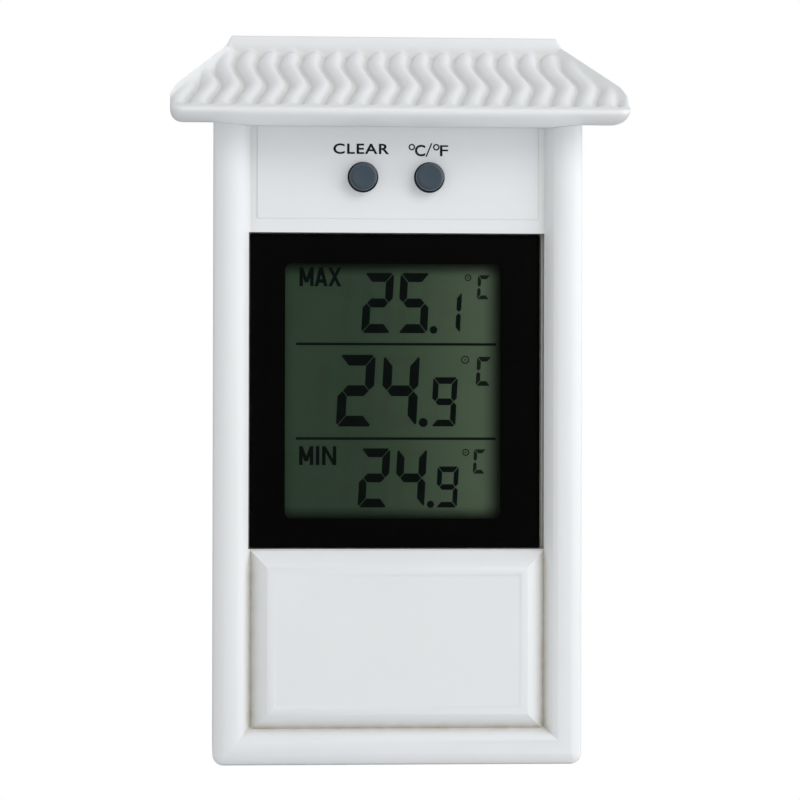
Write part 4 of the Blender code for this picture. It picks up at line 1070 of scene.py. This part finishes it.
# ---- buttons, fasteners and the cell ----
def push_buttons(mats):
    """Round caps with a softly domed top and a rolled rim."""
    flange = (-PLATE_BACK_Y - GAP, -PLATE_BACK_Y - GAP - FLANGE_T)
    stem = flange[1] - GAP
    front = -BUTTON_FRONT_Y
    rim = arc((BUTTON_R - BUTTON_RIM, front - BUTTON_RIM), (BUTTON_RIM, BUTTON_RIM), 90, 0, 10)
    cap = [(radius, front - depth) for radius, depth in BUTTON_DOME] + rim
    cap += [(BUTTON_R, flange[0]), (FLANGE_R, flange[0]), (FLANGE_R, flange[1]), (STEM_R, flange[1]),
            (STEM_R, stem), (0.0, stem)]
    for x, name in zip(BUTTON_X, BUTTON_NAMES):
        add_piece(f"cap_{name}", turned(cap, (x, 0.0, BUTTON_Z), (0, -1, 0), 80), mats["button_grey"],
                  f"{name}_button", [f"button_{name}"])


def screw(name, node, place, axis, head_r, head_h, shank_r, length, mats):
    """A cross-head screw; place is the underside of its head, axis points out of its head."""
    dome = arc((0.0, head_h / 4), (head_r, head_h * 3 / 4), 90, 0, 10)
    core = shank_r * THREAD_CORE
    thread = []
    for turn in range(1, int((length - 1.6) / THREAD_PITCH) + 1):
        thread += [(core, -THREAD_PITCH * turn), (shank_r, -THREAD_PITCH * (turn + 0.5))]
    tip = [(shank_r * 0.8, 1.0 - length), (0.0, -length)]
    profile = dome + [(head_r, 0.0), (core, 0.0)] + thread + tip
    arm, half = head_r * 0.55, head_r * 0.14
    quarter = [(arm, -half), (arm, half), (half, half)]
    cross = []
    for step in range(4):
        turn = Matrix.Rotation(step * math.pi / 2, 2)
        cross += [tuple(turn @ Vector(point)) for point in quarter]
    recess = loft([[(x * taper, y * taper, z) for x, y in cross]
                   for taper, z in ((0.75, head_h * 0.4), (1.08, head_h + 0.1))])
    solid = combine(turned(profile, place, axis, 40), [("DIFFERENCE", moved(recess, place, axis))])
    add_piece(name, solid, mats["steel"], replaces=[node], smooth_below=40.0)


def fasteners(mats):
    for kind, places, *shape in SCREWS:
        for i, place in enumerate(places, 1):
            screw(f"{kind}_turned_{i}", f"{kind}_{i}", place, *shape, mats)


def battery_cell(mats):
    """The cell with its raised positive cap and the rolled edges of its sleeve."""
    half = CELL_LENGTH / 2
    edge, radii = CELL_R - CELL_ROLL, (CELL_ROLL, CELL_ROLL)
    profile = [(radius, half - depth) for radius, depth in CELL_CAP]
    profile += arc((edge, half - CELL_SHOULDER - CELL_ROLL), radii, 90, 0, 6)
    profile += arc((edge, CELL_ROLL - half), radii, 0, -90, 6) + [(CELL_FOOT_R, -half), (0.0, -half)]
    sleeved = turned(profile, (0.0, CELL_Y, CELL_Z), (1, 0, 0), 72)
    add_piece("cell_sleeved", sleeved, mats["cell_jacket"], "cell", ["battery_cell"], 40.0)


def carried_over(mats):
    """The other CAD nodes: the moulded and pressed ones get softened edges, the rest a finished material."""
    softened = {"back_cover": 0.2, "battery_door": 0.2, "display_holder": 0.1, "switch_body_clear": 0.08,
                "switch_body_unit": 0.08, "battery_contact_positive": 0.05, "battery_contact_negative": 0.05}
    for node, soften in softened.items():
        fine_copy(node, mats[frame["nodes"][node].material_slots[0].name], soften)
    for obj in frame["nodes"].values():
        for material_slot in obj.material_slots:
            material_slot.material = mats[material_slot.name]


# ---- studio ----
def camera():
    yaw, pitch, roll = (math.radians(angle) for angle in (CAMERA_YAW, CAMERA_PITCH, CAMERA_ROLL))
    forward = Vector((math.sin(yaw) * math.cos(pitch), math.cos(yaw) * math.cos(pitch), math.sin(pitch)))
    level = Vector((math.cos(yaw), -math.sin(yaw), 0.0))
    upward = level.cross(forward)
    right = math.cos(roll) * level + math.sin(roll) * upward
    up = math.cos(roll) * upward - math.sin(roll) * level
    data = bpy.data.cameras.new("camera")
    data.lens = CAMERA_LENS
    data.sensor_width = SENSOR
    data.clip_start, data.clip_end = CLIP
    obj = in_scene("camera", data)
    placed = Matrix((right, up, -forward)).transposed().to_4x4()
    placed.translation = Vector(CAMERA_PLACE) * MM
    obj.matrix_world = placed
    bpy.context.scene.camera = obj


def area_light(name, place, aim, size, watts):
    """A square soft light aimed at a height on the object's middle line, in millimetres."""
    data = bpy.data.lights.new(name, "AREA")
    data.shape = "SQUARE"
    data.size = size * MM
    data.energy = watts
    obj = in_scene(name, data)
    place, target = Vector(place) * MM, Vector((0, 0, aim)) * MM
    obj.location = place
    obj.rotation_euler = (target - place).to_track_quat("-Z", "Y").to_euler()


def surroundings():
    """White to the camera, nearly dark to glossy surfaces and an even pale light to the rest."""
    world = bpy.data.worlds.new("studio")
    world.use_nodes = True
    nodes, links = world.node_tree.nodes, world.node_tree.links
    path = nodes.new("ShaderNodeLightPath")
    shown = nodes["Background"]
    shown.inputs["Color"].default_value = WHITE
    shown.inputs["Strength"].default_value = SURROUND
    for ray, strength in (("Is Glossy Ray", MIRRORED), ("Is Camera Ray", 1.0)):
        special, mixed = nodes.new("ShaderNodeBackground"), nodes.new("ShaderNodeMixShader")
        special.inputs["Color"].default_value = WHITE
        special.inputs["Strength"].default_value = strength
        for socket, output in zip(mixed.inputs, (path.outputs[ray], shown.outputs[0], special.outputs[0])):
            links.new(output, socket)
        shown = mixed
    links.new(shown.outputs[0], nodes["World Output"].inputs["Surface"])
    bpy.context.scene.world = world


def studio():
    """A white sweep and soft lights, the main one high on the right."""
    surroundings()
    bpy.context.scene.view_settings.view_transform = "Standard"
    for light in LIGHTS:
        area_light(*light)
    surface = Surface("floor_white", 0.9, specular=0.0)
    surface.colour(surface.mix(surface.noise(60.0, 2.0), (0.9, 0.9, 0.9), (0.94, 0.94, 0.94)))
    path = surface.add("ShaderNodeLightPath")
    surface.blend(path.outputs["Is Camera Ray"], surface.shader, surface.add("ShaderNodeEmission"))
    bm = bmesh.new()
    bmesh.ops.create_grid(bm, x_segments=1, y_segments=1, size=FLOOR_HALF * MM)
    floor = in_scene("floor", mesh_from(bm))
    floor.data.materials.append(surface.material)
    floor.visible_glossy = False


camera()
studio()
MATERIALS = make_materials()
for build in (carried_over, front_housing, roof, window_lens, window_mask, display, labels, push_buttons,
              fasteners, battery_cell):
    build(MATERIALS)
